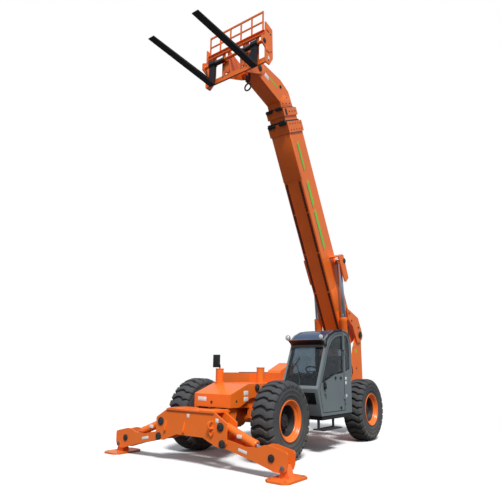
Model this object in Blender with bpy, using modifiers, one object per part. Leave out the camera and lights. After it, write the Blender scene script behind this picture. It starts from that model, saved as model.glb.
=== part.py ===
# Rough-terrain telehandler with a three-section boom and front outriggers.
# Metres, +Z up, +X to the front, +Y to the machine's left, ground at z = 0.
import math
import bmesh
import bpy
from mathutils import Matrix, Vector

for old in list(bpy.data.objects):
    bpy.data.objects.remove(old, do_unlink=True)

# ---------------------------------------------------------------- driving sizes
MID_X = -0.3288           # shift that centres the whole machine on the origin
GAP = 0.0003              # seating gap between touching pieces
PIN_SIDES = 16

WHEELBASE = 3.48
TYRE_R = 0.674
TYRE_W = 0.445
TRACK_HALF = 0.9825       # tyre centre from the machine's middle plane
KINGPIN_Y = 0.74
RIM_R = 0.352
WHEEL_STEPS = 24

RAIL_Y = 0.36             # outer face of the chassis side plates
RAIL_T = 0.03
BOOM_ANGLE = math.radians(62.1)
PIVOT_X = -3.0
PIVOT_Z = 2.47
OUTER_HALF = 0.25         # outer boom section, half width
OUTER_LOW = -0.69         # outer boom underside below the pivot line
OUTER_TOP = 0.014
OUTER_END = 5.60
WALL = 0.014
PAD = 0.022               # wear pad thickness between two boom sections

LIFT_Y = 0.37             # middle plane of each lift cylinder
LIFT_BASE_X = -2.30
LIFT_BASE_Z = 1.20
LIFT_EYE_U = 2.10         # rod eye, along the boom
LIFT_EYE_W = -0.05        # rod eye, across the boom
LIFT_BARREL_R = 0.100
LIFT_ROD_R = 0.062
LIFT_EYE_HALF = 0.062     # half length of the rod's eye

LEG_X = 2.88              # middle plane of the outrigger legs
LEG_ROOM = 0.092          # inner faces of a leg's side plates, from its middle plane
LEG_PLATE = 0.018
LEG_HINGE_Y = 0.72
LEG_HINGE_Z = 0.39
LEG_TOP_Y = 0.68
LEG_TOP_Z = 0.64
LEG_ROD_Y = 1.63
LEG_ROD_Z = 0.283
FOOT_Y = 1.82
FOOT_Z = 0.165
FOOT_HALF_X = 0.325
FOOT_HALF_Y = 0.20

CAB_IN = 0.37
CAB_OUT = 1.20
CAB_T = 0.03
POD_X0 = -0.86
POD_X1 = 0.86
POD_OUT = 1.20
POD_TOP = 1.385           # joint between the engine's box and its hood

FORK_Y = 0.585
FORK_X = 2.16             # front face of the fork shanks
FORK_Z = 7.69             # underside of the fork blades at the heel
FORK_LEN = 1.78
FORK_SLOPE = math.radians(3.0)

FRONT_X = WHEELBASE / 2
REAR_X = -WHEELBASE / 2

# ---------------------------------------------------------------- materials
def paint(name, rgb, rough, metal, alpha=1.0):
    mat = bpy.data.materials.new(name)
    mat.use_nodes = True
    shader = mat.node_tree.nodes["Principled BSDF"]
    shader.inputs["Base Color"].default_value = (rgb[0], rgb[1], rgb[2], 1.0)
    shader.inputs["Roughness"].default_value = rough
    shader.inputs["Metallic"].default_value = metal
    shader.inputs["Alpha"].default_value = alpha
    return mat


LOOKS = {
    "orange": ((0.90, 0.16, 0.02), 0.40, 0.0),
    "grey": ((0.18, 0.20, 0.21), 0.45, 0.0),
    "dark": ((0.03, 0.03, 0.035), 0.55, 0.3),
    "steel": ((0.45, 0.46, 0.48), 0.35, 1.0),
    "chrome": ((0.75, 0.77, 0.80), 0.12, 1.0),
    "rubber": ((0.035, 0.035, 0.037), 0.85, 0.0),
    "plastic": ((0.02, 0.02, 0.022), 0.60, 0.0),
    "glass": ((0.20, 0.26, 0.28), 0.05, 0.0),
}

# ---------------------------------------------------------------- frames
root = bpy.data.objects.new("machine_middle", None)
root.location = (MID_X, 0.0, 0.0)
bpy.context.scene.collection.objects.link(root)
PLACED = {root.name: Matrix.Translation((MID_X, 0.0, 0.0))}


def frame(name, parent, x, y, z, pitch=0.0):
    """Empty at a joint; x, y, z in machine coordinates."""
    empty = bpy.data.objects.new(name, None)
    bpy.context.scene.collection.objects.link(empty)
    world = PLACED[root.name] @ Matrix.Translation((x, y, z)) @ Matrix.Rotation(-pitch, 4, "Y")
    empty.parent = parent
    empty.matrix_parent_inverse = PLACED[parent.name].inverted()
    empty.matrix_basis = world
    PLACED[empty.name] = world
    return empty


def hold(obj, parent, local):
    """Parents obj; its own coordinates are the machine's, or the parent's when local."""
    obj.parent = parent
    if not local:
        obj.matrix_parent_inverse = PLACED[parent.name].inverted() @ PLACED[root.name]
    return obj


# ---------------------------------------------------------------- primitives
def solid(name, data):
    mesh = bpy.data.meshes.new(name)
    data.to_mesh(mesh)
    data.free()
    obj = bpy.data.objects.new(name, mesh)
    bpy.context.scene.collection.objects.link(obj)
    return obj


def box(x0, x1, y0, y1, z0, z1):
    data = bmesh.new()
    bmesh.ops.create_cube(data, size=1.0, matrix=Matrix.Diagonal((x1 - x0, y1 - y0, z1 - z0, 1.0)))
    obj = solid("box", data)
    obj.location = ((x0 + x1) / 2, (y0 + y1) / 2, (z0 + z1) / 2)
    return obj


def rod(start, end, radius, sides=12):
    a = Vector(start)
    b = Vector(end)
    data = bmesh.new()
    bmesh.ops.create_cone(data, cap_ends=True, segments=sides, radius1=radius, radius2=radius,
                          depth=(b - a).length)
    obj = solid("rod", data)
    obj.location = (a + b) / 2
    obj.rotation_euler = (b - a).to_track_quat("Z", "Y").to_euler()
    return obj


def pin(start, end, radius):
    return rod(start, end, radius, PIN_SIDES)


def pin_hole(start, end, radius):
    """Bore for a pin of this radius: its flats clear the pin's corners at any turn."""
    return rod(start, end, radius / math.cos(math.pi / PIN_SIDES) + GAP, PIN_SIDES)


def outline(points, low, high, plane):
    """Flat outline given thickness; plane xz, yz or xy names the outline's two axes."""
    curve = bpy.data.curves.new("outline", "CURVE")
    curve.dimensions = "2D"
    curve.fill_mode = "BOTH"
    curve.extrude = (high - low) / 2
    line = curve.splines.new("POLY")
    line.points.add(len(points) - 1)
    for point, (a, b) in zip(line.points, points):
        point.co = (a, b, 0.0, 1.0)
    line.use_cyclic_u = True
    flat = bpy.data.objects.new("outline", curve)
    mesh = bpy.data.meshes.new_from_object(flat)
    bpy.data.objects.remove(flat, do_unlink=True)
    obj = bpy.data.objects.new("outline", mesh)
    bpy.context.scene.collection.objects.link(obj)
    weld(mesh)
    mid = (low + high) / 2
    if plane == "xz":
        obj.location = (0.0, mid, 0.0)
        obj.rotation_euler = (math.pi / 2, 0.0, 0.0)
    elif plane == "yz":
        obj.location = (mid, 0.0, 0.0)
        obj.rotation_euler = (math.pi / 2, 0.0, math.pi / 2)
    else:
        obj.location = (0.0, 0.0, mid)
    return obj


def weld(mesh):
    data = bmesh.new()
    data.from_mesh(mesh)
    bmesh.ops.remove_doubles(data, verts=data.verts, dist=0.00005)
    bmesh.ops.recalc_face_normals(data, faces=data.faces)
    data.to_mesh(mesh)
    data.free()


def turned(profile, steps, flip=False):
    """Profile of (radius, height) pairs turned about local Z."""
    mesh = bpy.data.meshes.new("turned")
    verts = [(r, 0.0, h) for r, h in profile]
    edges = [(i, i + 1) for i in range(len(profile) - 1)]
    if profile[0][0] > 0.0:
        edges.append((len(profile) - 1, 0))
    mesh.from_pydata(verts, edges, [])
    obj = bpy.data.objects.new("turned", mesh)
    bpy.context.scene.collection.objects.link(obj)
    screw = obj.modifiers.new("turn", "SCREW")
    screw.axis = "Z"
    screw.steps = steps
    screw.render_steps = steps
    screw.use_merge_vertices = True
    screw.merge_threshold = 0.0001
    screw.use_smooth_shade = True
    screw.use_normal_flip = flip
    return obj


# ---------------------------------------------------------------- nodes
def helpers(name, objects, parent, local):
    group = bpy.data.collections.new(name)
    bpy.context.scene.collection.children.link(group)
    for obj in objects:
        for owner in list(obj.users_collection):
            owner.objects.unlink(obj)
        group.objects.link(obj)
        obj.hide_render = True
        obj.display_type = "WIRE"
        hold(obj, parent, local)
    return group


def node(name, look, parts, parent, cuts=(), local=False, smooth=False, bevel=0.0):
    """One named piece: first part joined with the others, cuts taken out."""
    body = parts[0]
    body.name = name
    body.data.name = name
    hold(body, parent, local)
    if len(parts) > 1:
        join = body.modifiers.new("join", "BOOLEAN")
        join.operation = "UNION"
        join.solver = "EXACT"
        join.operand_type = "COLLECTION"
        join.collection = helpers(name + "_joined", parts[1:], parent, local)
    if cuts:
        cut = body.modifiers.new("cut", "BOOLEAN")
        cut.operation = "DIFFERENCE"
        cut.solver = "EXACT"
        cut.operand_type = "COLLECTION"
        cut.collection = helpers(name + "_cuts", cuts, parent, local)
    if bevel > 0.0:
        edge = body.modifiers.new("edge", "BEVEL")
        edge.width = bevel
        edge.segments = 1
        edge.limit_method = "ANGLE"
    rgb, rough, metal = LOOKS[look]
    body.data.materials.clear()
    body.data.materials.append(paint(name + "_" + look, rgb, rough, metal))
    if smooth:
        for face in body.data.polygons:
            face.use_smooth = True
    return body


def inset(points, depth):
    """Outline moved inwards by depth; points run counter-clockwise."""
    moved = []
    count = len(points)
    for i in range(count):
        p = Vector(points[i - 1])
        q = Vector(points[i])
        r = Vector(points[(i + 1) % count])
        d1 = (q - p).normalized()
        d2 = (r - q).normalized()
        n1 = Vector((-d1.y, d1.x))
        n2 = Vector((-d2.y, d2.x))
        k = depth / (1.0 + n1.dot(n2))
        moved.append((q.x + (n1.x + n2.x) * k, q.y + (n1.y + n2.y) * k))
    return moved


def mirrored(points, sign):
    return [(sign * a, b) for a, b in points]


# ---------------------------------------------------------------- chassis
RAIL = [(2.26, 0.62), (2.44, 0.62), (2.44, 1.06), (1.95, 1.22), (-0.70, 1.22), (-0.95, 1.02), (-2.44, 1.02),
        (-2.46, 1.70), (-2.80, 2.40), (-2.89, 2.58), (-2.97, 2.63), (-3.05, 2.62), (-3.13, 2.54),
        (-3.15, 2.40), (-3.15, 0.80), (-3.02, 0.60), (-2.30, 0.60), (-2.05, 0.86), (-1.43, 0.86),
        (-1.20, 0.58), (1.20, 0.58), (1.43, 0.86), (2.18, 0.86)]

frame_parts = []
for sign in (1, -1):
    y0 = sign * (RAIL_Y - RAIL_T / 2)
    frame_parts.append(outline(RAIL, y0 - RAIL_T / 2, y0 + RAIL_T / 2, "xz"))
inner = RAIL_Y - RAIL_T / 2
for x0, x1, z0, z1 in ((-1.15, 1.15, 0.585, 0.610), (2.35, 2.38, 0.87, 1.05), (-3.14, -3.11, 0.82, 1.72),
                       (-3.13, -2.50, 1.66, 1.69), (-3.00, -2.35, 0.61, 0.64), (-0.72, -0.69, 0.60, 1.20),
                       (0.90, 0.93, 0.60, 1.20), (-1.95, -1.53, 0.92, 0.95), (1.53, 1.95, 0.92, 0.95)):
    frame_parts.append(box(x0, x1, -inner, inner, z0, z1))
frame_parts.append(box(LIFT_BASE_X - 0.11, LIFT_BASE_X + 0.12, -0.455, 0.455, 1.01, 1.05))
for sign in (1, -1):
    for near, far in ((0.275, 0.305), (0.435, 0.455)):
        mid = sign * (near + far) / 2
        half = (far - near) / 2
        ear = [(LIFT_BASE_X - 0.10, 1.03), (LIFT_BASE_X + 0.11, 1.03), (LIFT_BASE_X + 0.08, 1.24),
               (LIFT_BASE_X + 0.03, 1.29), (LIFT_BASE_X - 0.03, 1.29), (LIFT_BASE_X - 0.08, 1.24)]
        frame_parts.append(outline(ear, mid - half, mid + half, "xz"))
    frame_parts.append(pin((LIFT_BASE_X, sign * LIFT_Y - 0.085, LIFT_BASE_Z),
                           (LIFT_BASE_X, sign * LIFT_Y + 0.085, LIFT_BASE_Z), 0.035))
frame_parts.append(box(-0.55, 0.50, inner, 1.05, 0.62, 0.6797))
for sign in (1, -1):
    frame_parts.append(pin((PIVOT_X, sign * 0.345, PIVOT_Z), (PIVOT_X, sign * 0.41, PIVOT_Z), 0.05))
    frame_parts.append(rod((PIVOT_X, sign * 0.350, PIVOT_Z), (PIVOT_X, sign * (0.370 - GAP), PIVOT_Z), 0.09))
node("chassis_frame", "orange", frame_parts, root)

nose_parts = [outline([(2.4403, 0.88), (2.47, 0.88), (2.47, 1.10), (1.96, 1.275), (0.98, 1.275),
                       (0.98, 1.2203), (1.95, 1.2203), (2.4403, 1.0603)], -0.42, 0.42, "xz")]
for sign in (1, -1):
    mid = sign * 0.405
    nose_parts.append(outline([(2.47, 0.88), (2.46, 1.10), (1.96, 1.27), (1.00, 1.27), (1.00, 1.12),
                               (1.90, 1.02), (2.20, 0.88)], mid - 0.014, mid + 0.014, "xz"))
nose_parts.append(box(-0.68, 1.00, -0.36, 0.36, 1.2203, 1.2403))
for x, y, top in ((1.42, 0.30, 1.56), (1.88, -0.34, 1.53)):
    nose_parts.append(rod((x, y, 1.25), (x, y, top), 0.075, 28))
node("nose_cover", "orange", nose_parts, root)


PLATE = [(-0.80, 0.40), (-0.74, 0.33), (-0.60, 0.335), (-0.30, 0.45), (0.30, 0.45), (0.60, 0.335),
         (0.74, 0.33), (0.80, 0.40), (0.80, 0.70), (0.55, 0.845), (-0.55, 0.845), (-0.80, 0.70)]
plate_in = LEG_ROOM + LEG_PLATE + 0.005
plate_out = plate_in + 0.025
beam_parts = [outline(PLATE, LEG_X + plate_in, LEG_X + plate_out, "yz"),
              outline(PLATE, LEG_X - plate_out, LEG_X - plate_in, "yz")]
beam_parts.append(box(2.62, LEG_X + plate_out + 0.02, -0.54, 0.54, 0.835, 0.860))
beam_parts.append(box(LEG_X - plate_out + 0.01, LEG_X + plate_out - 0.01, -0.29, 0.29, 0.452, 0.475))
for sign in (1, -1):
    mid = sign * 0.345
    beam_parts.append(outline([(2.4403, 0.64), (LEG_X - plate_in, 0.60), (LEG_X - plate_in, 0.84), (2.4403, 0.865)],
                              mid - 0.015, mid + 0.015, "xz"))
    for y, z, radius in ((LEG_HINGE_Y, LEG_HINGE_Z, 0.03), (LEG_TOP_Y, LEG_TOP_Z, 0.025)):
        beam_parts.append(pin((LEG_X - plate_out - 0.012, sign * y, z), (LEG_X + plate_out + 0.015, sign * y, z),
                              radius))
node("outrigger_beam", "orange", beam_parts, root)

REAR = [(-3.1503, 0.62), (-3.25, 0.64), (-3.28, 0.68), (-3.28, 0.80), (-3.235, 0.83), (-3.235, 1.20),
        (-3.20, 1.28), (-3.1503, 1.30)]
node("counterweight", "orange", [outline(REAR, -0.62, 0.62, "xz")], root)

# ---------------------------------------------------------------- axles, knuckles, wheels
AXLES = [("front", FRONT_X, 1), ("rear", REAR_X, -1)]
steer_frames = {}
for axle, ax, way in AXLES:
    z = TYRE_R
    parts = [rod((ax, -0.62, z), (ax, 0.62, z), 0.085)]
    ball = bmesh.new()
    bmesh.ops.create_uvsphere(ball, u_segments=16, v_segments=8, radius=0.19)
    housing = solid("housing", ball)
    housing.location = (ax, 0.0, z)
    parts.append(housing)
    parts.append(rod((ax, 0.0, z), (ax - way * 0.34, 0.0, z), 0.07))
    for sign in (1, -1):
        parts.append(box(ax - 0.10, ax + 0.10, sign * 0.345 - 0.035, sign * 0.345 + 0.035, z, 0.8597))
        parts.append(box(ax - 0.07, ax + 0.07, sign * 0.60 - 0.03, sign * 0.60 + 0.03, z - 0.165, z + 0.165))
        for level in (0.145, -0.145):
            parts.append(box(ax - 0.065, ax + 0.065, sign * 0.70 - 0.10, sign * 0.70 + 0.10,
                             z + level - 0.02, z + level + 0.02))
            parts.append(pin((ax, sign * KINGPIN_Y, z + level), (ax, sign * KINGPIN_Y, z + level * 0.55), 0.03))
    node(axle + "_axle", "orange", parts, root)
    for side, sign in (("left", 1), ("right", -1)):
        turn = frame(axle + "_" + side + "_kingpin", root, ax, sign * KINGPIN_Y, z)
        steer_frames[axle + "_" + side] = turn
        hub_back = TRACK_HALF - 0.10 - GAP
        arm_z = z - 0.03
        parts = [box(ax - 0.06, ax + 0.06, sign * 0.735 - 0.065, sign * 0.735 + 0.065, z - 0.12, z + 0.12),
                 rod((ax, sign * 0.74, z), (ax, sign * hub_back, z), 0.09),
                 box(ax - way * 0.06 - 0.10, ax - way * 0.06 + 0.10, sign * 0.73 - 0.04, sign * 0.73 + 0.04,
                     arm_z - 0.02, arm_z + 0.02)]
        holes = [pin_hole((ax, sign * KINGPIN_Y, z - 0.2), (ax, sign * KINGPIN_Y, z - 0.06), 0.03),
                 pin_hole((ax, sign * KINGPIN_Y, z + 0.06), (ax, sign * KINGPIN_Y, z + 0.2), 0.03)]
        node(axle + "_" + side + "_knuckle", "orange", parts, turn, cuts=holes)
        spin = frame(axle + "_" + side + "_spin", turn, ax, sign * TRACK_HALF, z)
        tyre = turned([(0.650, 0.190), (0.600, 0.2225), (0.480, 0.2225), (0.380, 0.196), (0.340, 0.180),
                       (0.335, 0.172), (0.335, -0.172), (0.340, -0.180), (0.380, -0.196), (0.480, -0.2225),
                       (0.600, -0.2225), (0.650, -0.190), (0.674, -0.130), (0.674, 0.130)], WHEEL_STEPS, True)
        tyre.rotation_euler = (-math.pi / 2 * sign, 0.0, 0.0)
        tyre.location = (ax, sign * TRACK_HALF, z)
        node(axle + "_" + side + "_tyre", "rubber", [tyre], spin)
        rim = turned([(0.0, 0.075), (0.110, 0.075), (0.135, 0.005), (0.270, -0.020),
                      (0.305, 0.010), (0.312, 0.170), (0.330, 0.204), (RIM_R, 0.204), (RIM_R, 0.1865),
                      (0.3397, 0.1803), (0.3347, 0.1723), (0.3347, -0.1723), (0.3397, -0.1803),
                      (RIM_R, -0.1865), (RIM_R, -0.204), (0.330, -0.204), (0.312, -0.170), (0.305, -0.060),
                      (0.135, -0.055), (0.110, -0.100), (0.0, -0.100)], WHEEL_STEPS)
        rim.rotation_euler = (-math.pi / 2 * sign, 0.0, 0.0)
        rim.location = (ax, sign * TRACK_HALF, z)
        node(axle + "_" + side + "_rim", "orange", [rim], spin)

# ---------------------------------------------------------------- cab
CAB = [(-0.66, 0.68), (0.66, 0.68), (0.80, 1.18), (0.42, 2.02), (0.47, 2.12), (0.30, 2.24), (0.05, 2.33),
       (-0.25, 2.37), (-0.50, 2.34), (-0.64, 2.24), (-0.70, 2.05)]
DOOR = [(-0.34, 0.74), (0.60, 0.74), (0.72, 1.18), (0.36, 1.98), (0.20, 2.17), (0.02, 2.25), (-0.18, 2.29),
        (-0.34, 2.30)]
SIDE_PANE = [(-0.63, 1.56), (-0.41, 1.50), (-0.41, 2.27), (-0.50, 2.27), (-0.59, 2.20), (-0.64, 2.04)]
DOOR_PANE = [(-0.29, 1.50), (0.10, 1.46), (0.28, 1.40), (0.62, 1.30), (0.31, 1.96), (0.16, 2.12),
             (0.00, 2.20), (-0.18, 2.24), (-0.29, 2.25)]
RIGHT_PANE = [(-0.58, 1.30), (0.58, 1.30), (0.30, 1.95), (0.12, 2.14), (-0.20, 2.25), (-0.46, 2.22),
              (-0.60, 2.05)]
SCREEN = ((0.80, 1.18), (0.42, 2.02))
ROOF = ((0.452, 2.133), (0.30, 2.24), (0.05, 2.33), (-0.20, 2.363))
REAR_PANE = ((-0.6985, 2.00), (-0.6810, 1.40))


def band(line, low, high):
    """Closed outline running low to high across beside a bent line."""
    count = len(line)
    near = []
    far = []
    for i in range(count):
        here = Vector(line[i])
        back = (here - Vector(line[max(i - 1, 0)])).normalized()
        ahead = (Vector(line[min(i + 1, count - 1)]) - here).normalized()
        if i == 0:
            back = ahead
        if i == count - 1:
            ahead = back
        n1 = Vector((-back.y, back.x))
        n2 = Vector((-ahead.y, ahead.x))
        across = (n1 + n2) / (1.0 + n1.dot(n2))
        near.append(tuple(here + across * low))
        far.append(tuple(here + across * high))
    return near + far[::-1]


def shortened(line, trim):
    """Bent line with both ends drawn in."""
    first = Vector(line[0])
    last = Vector(line[-1])
    start = first + (Vector(line[1]) - first).normalized() * trim
    stop = last + (Vector(line[-2]) - last).normalized() * trim
    return [tuple(start)] + list(line[1:-1]) + [tuple(stop)]


shell_cuts = [outline(inset(CAB, CAB_T), CAB_IN + CAB_T, CAB_OUT - CAB_T, "xz"),
              outline(DOOR, CAB_OUT - 0.05, CAB_OUT + 0.05, "xz"),
              outline(SIDE_PANE, CAB_OUT - 0.05, CAB_OUT + 0.05, "xz"),
              outline(RIGHT_PANE, CAB_IN - 0.02, CAB_IN + 0.05, "xz"),
              outline(band(shortened(SCREEN, 0.035), -0.02, 0.06), CAB_IN + 0.04, CAB_OUT - 0.05, "xz"),
              outline(band(ROOF, -0.05, 0.06), CAB_IN + 0.04, CAB_OUT - 0.05, "xz"),
              outline(band(shortened(REAR_PANE, 0.02), -0.05, 0.06), CAB_IN + 0.08, CAB_OUT - 0.10, "xz")]
shell_parts = [outline(CAB, CAB_IN, CAB_OUT, "xz")]
for z in (0.95, 1.95):
    shell_parts.append(rod((-0.345, CAB_OUT + 0.015, z - 0.08), (-0.345, CAB_OUT + 0.015, z - GAP), 0.014))
    shell_parts.append(box(-0.40, -0.345, CAB_OUT - 0.01, CAB_OUT + 0.017, z - 0.07, z - 0.01))
node("cab_shell", "grey", shell_parts, root, cuts=shell_cuts)

GLASS_T = 0.008
node("windscreen", "glass",
     [outline(band(shortened(SCREEN, 0.035 + GAP), 0.010, 0.010 + GLASS_T), CAB_IN + 0.04 + GAP,
              CAB_OUT - 0.05 - GAP, "xz")], root)
node("roof_glass", "glass",
     [outline(band(shortened(ROOF, GAP), 0.010, 0.010 + GLASS_T), CAB_IN + 0.04 + GAP, CAB_OUT - 0.05 - GAP,
              "xz")], root)
node("rear_glass", "glass",
     [outline(band(shortened(REAR_PANE, 0.02 + GAP), 0.010, 0.010 + GLASS_T), CAB_IN + 0.08 + GAP,
              CAB_OUT - 0.10 - GAP, "xz")], root)
node("side_glass", "glass",
     [outline(inset(SIDE_PANE, GAP), CAB_OUT - 0.020, CAB_OUT - 0.012, "xz")], root)
node("right_glass", "glass",
     [outline(inset(RIGHT_PANE, GAP), CAB_IN + 0.012, CAB_IN + 0.020, "xz")], root)

HINGE_X = -0.345
HINGE_Y = CAB_OUT + 0.0150
door_frame = frame("door_hinge", root, HINGE_X, HINGE_Y, 1.5)
door_cuts = [outline(DOOR_PANE, CAB_OUT - 0.06, CAB_OUT + 0.04, "xz")]
node("door_glass", "glass", [outline(inset(DOOR_PANE, GAP), CAB_OUT - 0.020, CAB_OUT - 0.012, "xz")], door_frame)
door_parts = [outline(inset(DOOR, 0.006), CAB_OUT - CAB_T + 0.002, CAB_OUT - 0.002, "xz"),
              box(0.50, 0.54, CAB_OUT + 0.03, CAB_OUT + 0.05, 1.08, 1.26)]
for z in (1.09, 1.22):
    door_parts.append(box(0.50, 0.54, CAB_OUT - 0.010, CAB_OUT + 0.04, z, z + 0.03))
for z in (0.95, 1.95):
    door_parts.append(rod((HINGE_X, HINGE_Y, z), (HINGE_X, HINGE_Y, z + 0.10), 0.014))
    door_parts.append(box(HINGE_X, HINGE_X + 0.05, CAB_OUT + 0.001, CAB_OUT + 0.017, z + 0.01, z + 0.09))
    door_parts.append(box(HINGE_X + 0.02, HINGE_X + 0.05, CAB_OUT - 0.01, CAB_OUT + 0.012, z + 0.01, z + 0.09))
node("cab_door", "grey", door_parts, door_frame, cuts=door_cuts)

floor = 0.68 + CAB_T + GAP
node("seat_frame", "plastic",
     [box(-0.45, -0.05, 0.56, 0.98, floor, 1.00), box(-0.60, -0.02, 0.53, 1.01, 0.97, 1.06),
      outline([(-0.60, 1.00), (-0.50, 1.00), (-0.53, 1.84), (-0.63, 1.84)], 0.53, 1.01, "xz")], root)
node("seat_cushion", "plastic", [box(-0.48, 0.02, 0.52, 1.02, 1.06 + GAP, 1.18)], root)
CONSOLE = [(0.40, floor), (0.61, floor), (0.70, 1.10), (0.58, 1.42), (0.30, 1.38), (0.36, 1.20)]
node("console", "plastic", [outline(CONSOLE, CAB_IN + CAB_T + GAP, 1.15, "xz")], root)
bpy.ops.mesh.primitive_torus_add(major_radius=0.18, minor_radius=0.014, major_segments=20, minor_segments=6)
wheel = bpy.context.object
wheel.location = (0.16, 0.77, 1.50)
wheel.rotation_euler = (0.0, -0.6, 0.0)
column = [wheel, rod((0.152, 0.77, 1.488), (0.40, 0.77, 1.17), 0.03),
          rod((0.16, 0.595, 1.50), (0.16, 0.945, 1.50), 0.012)]
seat_line = [(0.40, floor), (0.61, floor), (0.70, 1.10), (0.58, 1.42 + GAP), (0.30 - GAP, 1.38 + GAP),
             (0.36 - GAP, 1.20)]
node("steering_column", "plastic", column, root, cuts=[outline(seat_line, 0.3, 1.2, "xz")])

step_parts = [box(-0.10, 0.66, 1.00, 1.24, 0.415, 0.435)]
for x in (-0.02, 0.58):
    step_parts.append(outline([(x - 0.03, 0.42), (x + 0.03, 0.42), (x + 0.04, 0.6797), (x - 0.04, 0.6797)],
                              1.07, 1.09, "xz"))
node("cab_step", "dark", step_parts, root)


# ---------------------------------------------------------------- engine side
pod = outline([(-POD_OUT, 0.74), (-1.12, 0.64), (-RAIL_Y - GAP, 0.64), (-RAIL_Y - GAP, POD_TOP),
               (-POD_OUT, POD_TOP)], POD_X0, POD_X1, "yz")
pod_room = outline([(-POD_OUT + 0.025, 0.755), (-1.11, 0.665), (-0.385, 0.665), (-0.385, 1.6),
                    (-POD_OUT + 0.025, 1.6)], POD_X0 + 0.025, POD_X1 - 0.025, "yz")
node("engine_pod", "orange", [pod], root, cuts=[pod_room])
HOOD_IN = -0.365
HOOD_Z = POD_TOP + GAP
hood_frame = frame("hood_hinge", root, 0.0, HOOD_IN, HOOD_Z)
hood = [outline([(-POD_OUT, HOOD_Z), (HOOD_IN, HOOD_Z), (HOOD_IN, 1.46), (-POD_OUT + 0.05, 1.46),
                 (-POD_OUT, 1.43)], POD_X0, POD_X1, "yz"),
        outline([(POD_X0, 1.45), (-0.28, 1.45), (-0.31, 1.51), (-0.78, 1.69), (POD_X0, 1.69)], -0.72, -0.37, "xz")]
hood_room = [outline([(-POD_OUT + 0.025, 1.2), (-0.39, 1.2), (-0.39, 1.435), (-POD_OUT + 0.058, 1.435),
                      (-POD_OUT + 0.025, 1.415)], POD_X0 + 0.025, POD_X1 - 0.025, "yz"),
             outline([(POD_X0 + 0.025, 1.40), (-0.32, 1.40), (-0.335, 1.493), (-0.785, 1.665),
                      (POD_X0 + 0.025, 1.665)], -0.695, -0.395, "xz")]
node("engine_hood", "orange", hood, hood_frame, cuts=hood_room)
node("engine_block", "dark", [box(-0.62, 0.42, -1.02, -0.46, 0.665 + GAP, 1.36)], root)

# ---------------------------------------------------------------- boom
lift = frame("boom_pivot", root, PIVOT_X, 0.0, PIVOT_Z, BOOM_ANGLE)
outer_parts = [box(-0.10, OUTER_END, -OUTER_HALF, OUTER_HALF, OUTER_LOW, OUTER_TOP),
               box(OUTER_END - 0.01, 5.86, -OUTER_HALF - 0.03, OUTER_HALF + 0.03, OUTER_LOW - 0.03, OUTER_TOP + 0.03)]
EAR = [(0.92, -0.34), (0.42, 0.15), (0.10, 0.17), (-0.10, 0.16), (-0.17, 0.06), (-0.17, -0.10), (-0.12, -0.24),
       (0.36, -0.27), (0.60, -0.40)]
LUG = [(1.62, -0.285), (2.30, -0.30), (2.295, -0.115), (2.25, -0.009), (2.142, -0.009), (1.686, -0.036),
       (1.624, -0.048), (1.581, -0.228)]
for sign in (1, -1):
    outer_parts.append(outline(EAR, sign * 0.385 - 0.015, sign * 0.385 + 0.015, "xz"))
    outer_parts.append(outline([(0.50, -0.33), (0.84, -0.34), (0.70, -0.19), (0.50, -0.12)],
                               sign * 0.3125 - 0.070, sign * 0.3125 + 0.070, "xz"))
    outer_parts.append(outline(LUG, sign * 0.25625 - 0.00825, sign * 0.25625 + 0.00825, "xz"))
    outer_parts.append(outline(LUG, sign * 0.50 - 0.015, sign * 0.50 + 0.015, "xz"))
    outer_parts.append(box(2.27, 2.298, sign * 0.3815 - 0.1335, sign * 0.3815 + 0.1335, -0.295, -0.125))
    for near, far in ((0.260, LIFT_Y - LIFT_EYE_HALF - GAP), (LIFT_Y + LIFT_EYE_HALF + GAP, 0.490)):
        outer_parts.append(rod((LIFT_EYE_U, sign * near, LIFT_EYE_W), (LIFT_EYE_U, sign * far, LIFT_EYE_W),
                               0.070, 16))
tube_room = [box(-0.5, 6.5, -OUTER_HALF + WALL, OUTER_HALF - WALL, OUTER_LOW + WALL, OUTER_TOP - WALL)]
for sign in (1, -1):
    tube_room.append(pin_hole((0.0, sign * 0.34, 0.0), (0.0, sign * 0.42, 0.0), 0.05))
node("boom_outer", "orange", outer_parts, lift, cuts=tube_room, local=True)


def tube(name, look, u0, u1, depth, extra, parent, wall=WALL):
    """Boom section: depth is how far its skin lies inside the outer section's skin."""
    parts = [box(u0, u1, -OUTER_HALF + depth, OUTER_HALF - depth, OUTER_LOW + depth, OUTER_TOP - depth)]
    parts += extra
    d = depth + wall
    cuts = [box(u0 - 0.5, u1 + 0.5, -OUTER_HALF + d, OUTER_HALF - d, OUTER_LOW + d, OUTER_TOP - d)]
    return node(name, look, parts, parent, cuts=cuts, local=True)


def pad_ring(name, u0, u1, depth, parent):
    """Wear pads joined as one ring between two sections."""
    d0 = depth + GAP
    d1 = depth + PAD - GAP
    ring = box(u0, u1, -OUTER_HALF + d0, OUTER_HALF - d0, OUTER_LOW + d0, OUTER_TOP - d0)
    hole = box(u0 - 0.1, u1 + 0.1, -OUTER_HALF + d1, OUTER_HALF - d1, OUTER_LOW + d1, OUTER_TOP - d1)
    return node(name, "plastic", [ring], parent, cuts=[hole], local=True)


MID_D = WALL + PAD
INNER_D = MID_D + WALL + PAD
pad_ring("outer_pads", 5.70, 5.90, WALL, lift)
mid_slide = frame("mid_slide", lift, PIVOT_X, 0.0, PIVOT_Z, BOOM_ANGLE)
collar = box(6.01, 6.20, -OUTER_HALF + MID_D - 0.028, OUTER_HALF - MID_D + 0.028,
             OUTER_LOW + MID_D - 0.028, OUTER_TOP - MID_D + 0.028)
tube("boom_mid", "orange", 0.45, 6.02, MID_D, [collar], mid_slide)
pad_ring("mid_pads", 6.05, 6.225, MID_D + WALL, mid_slide)

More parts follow.
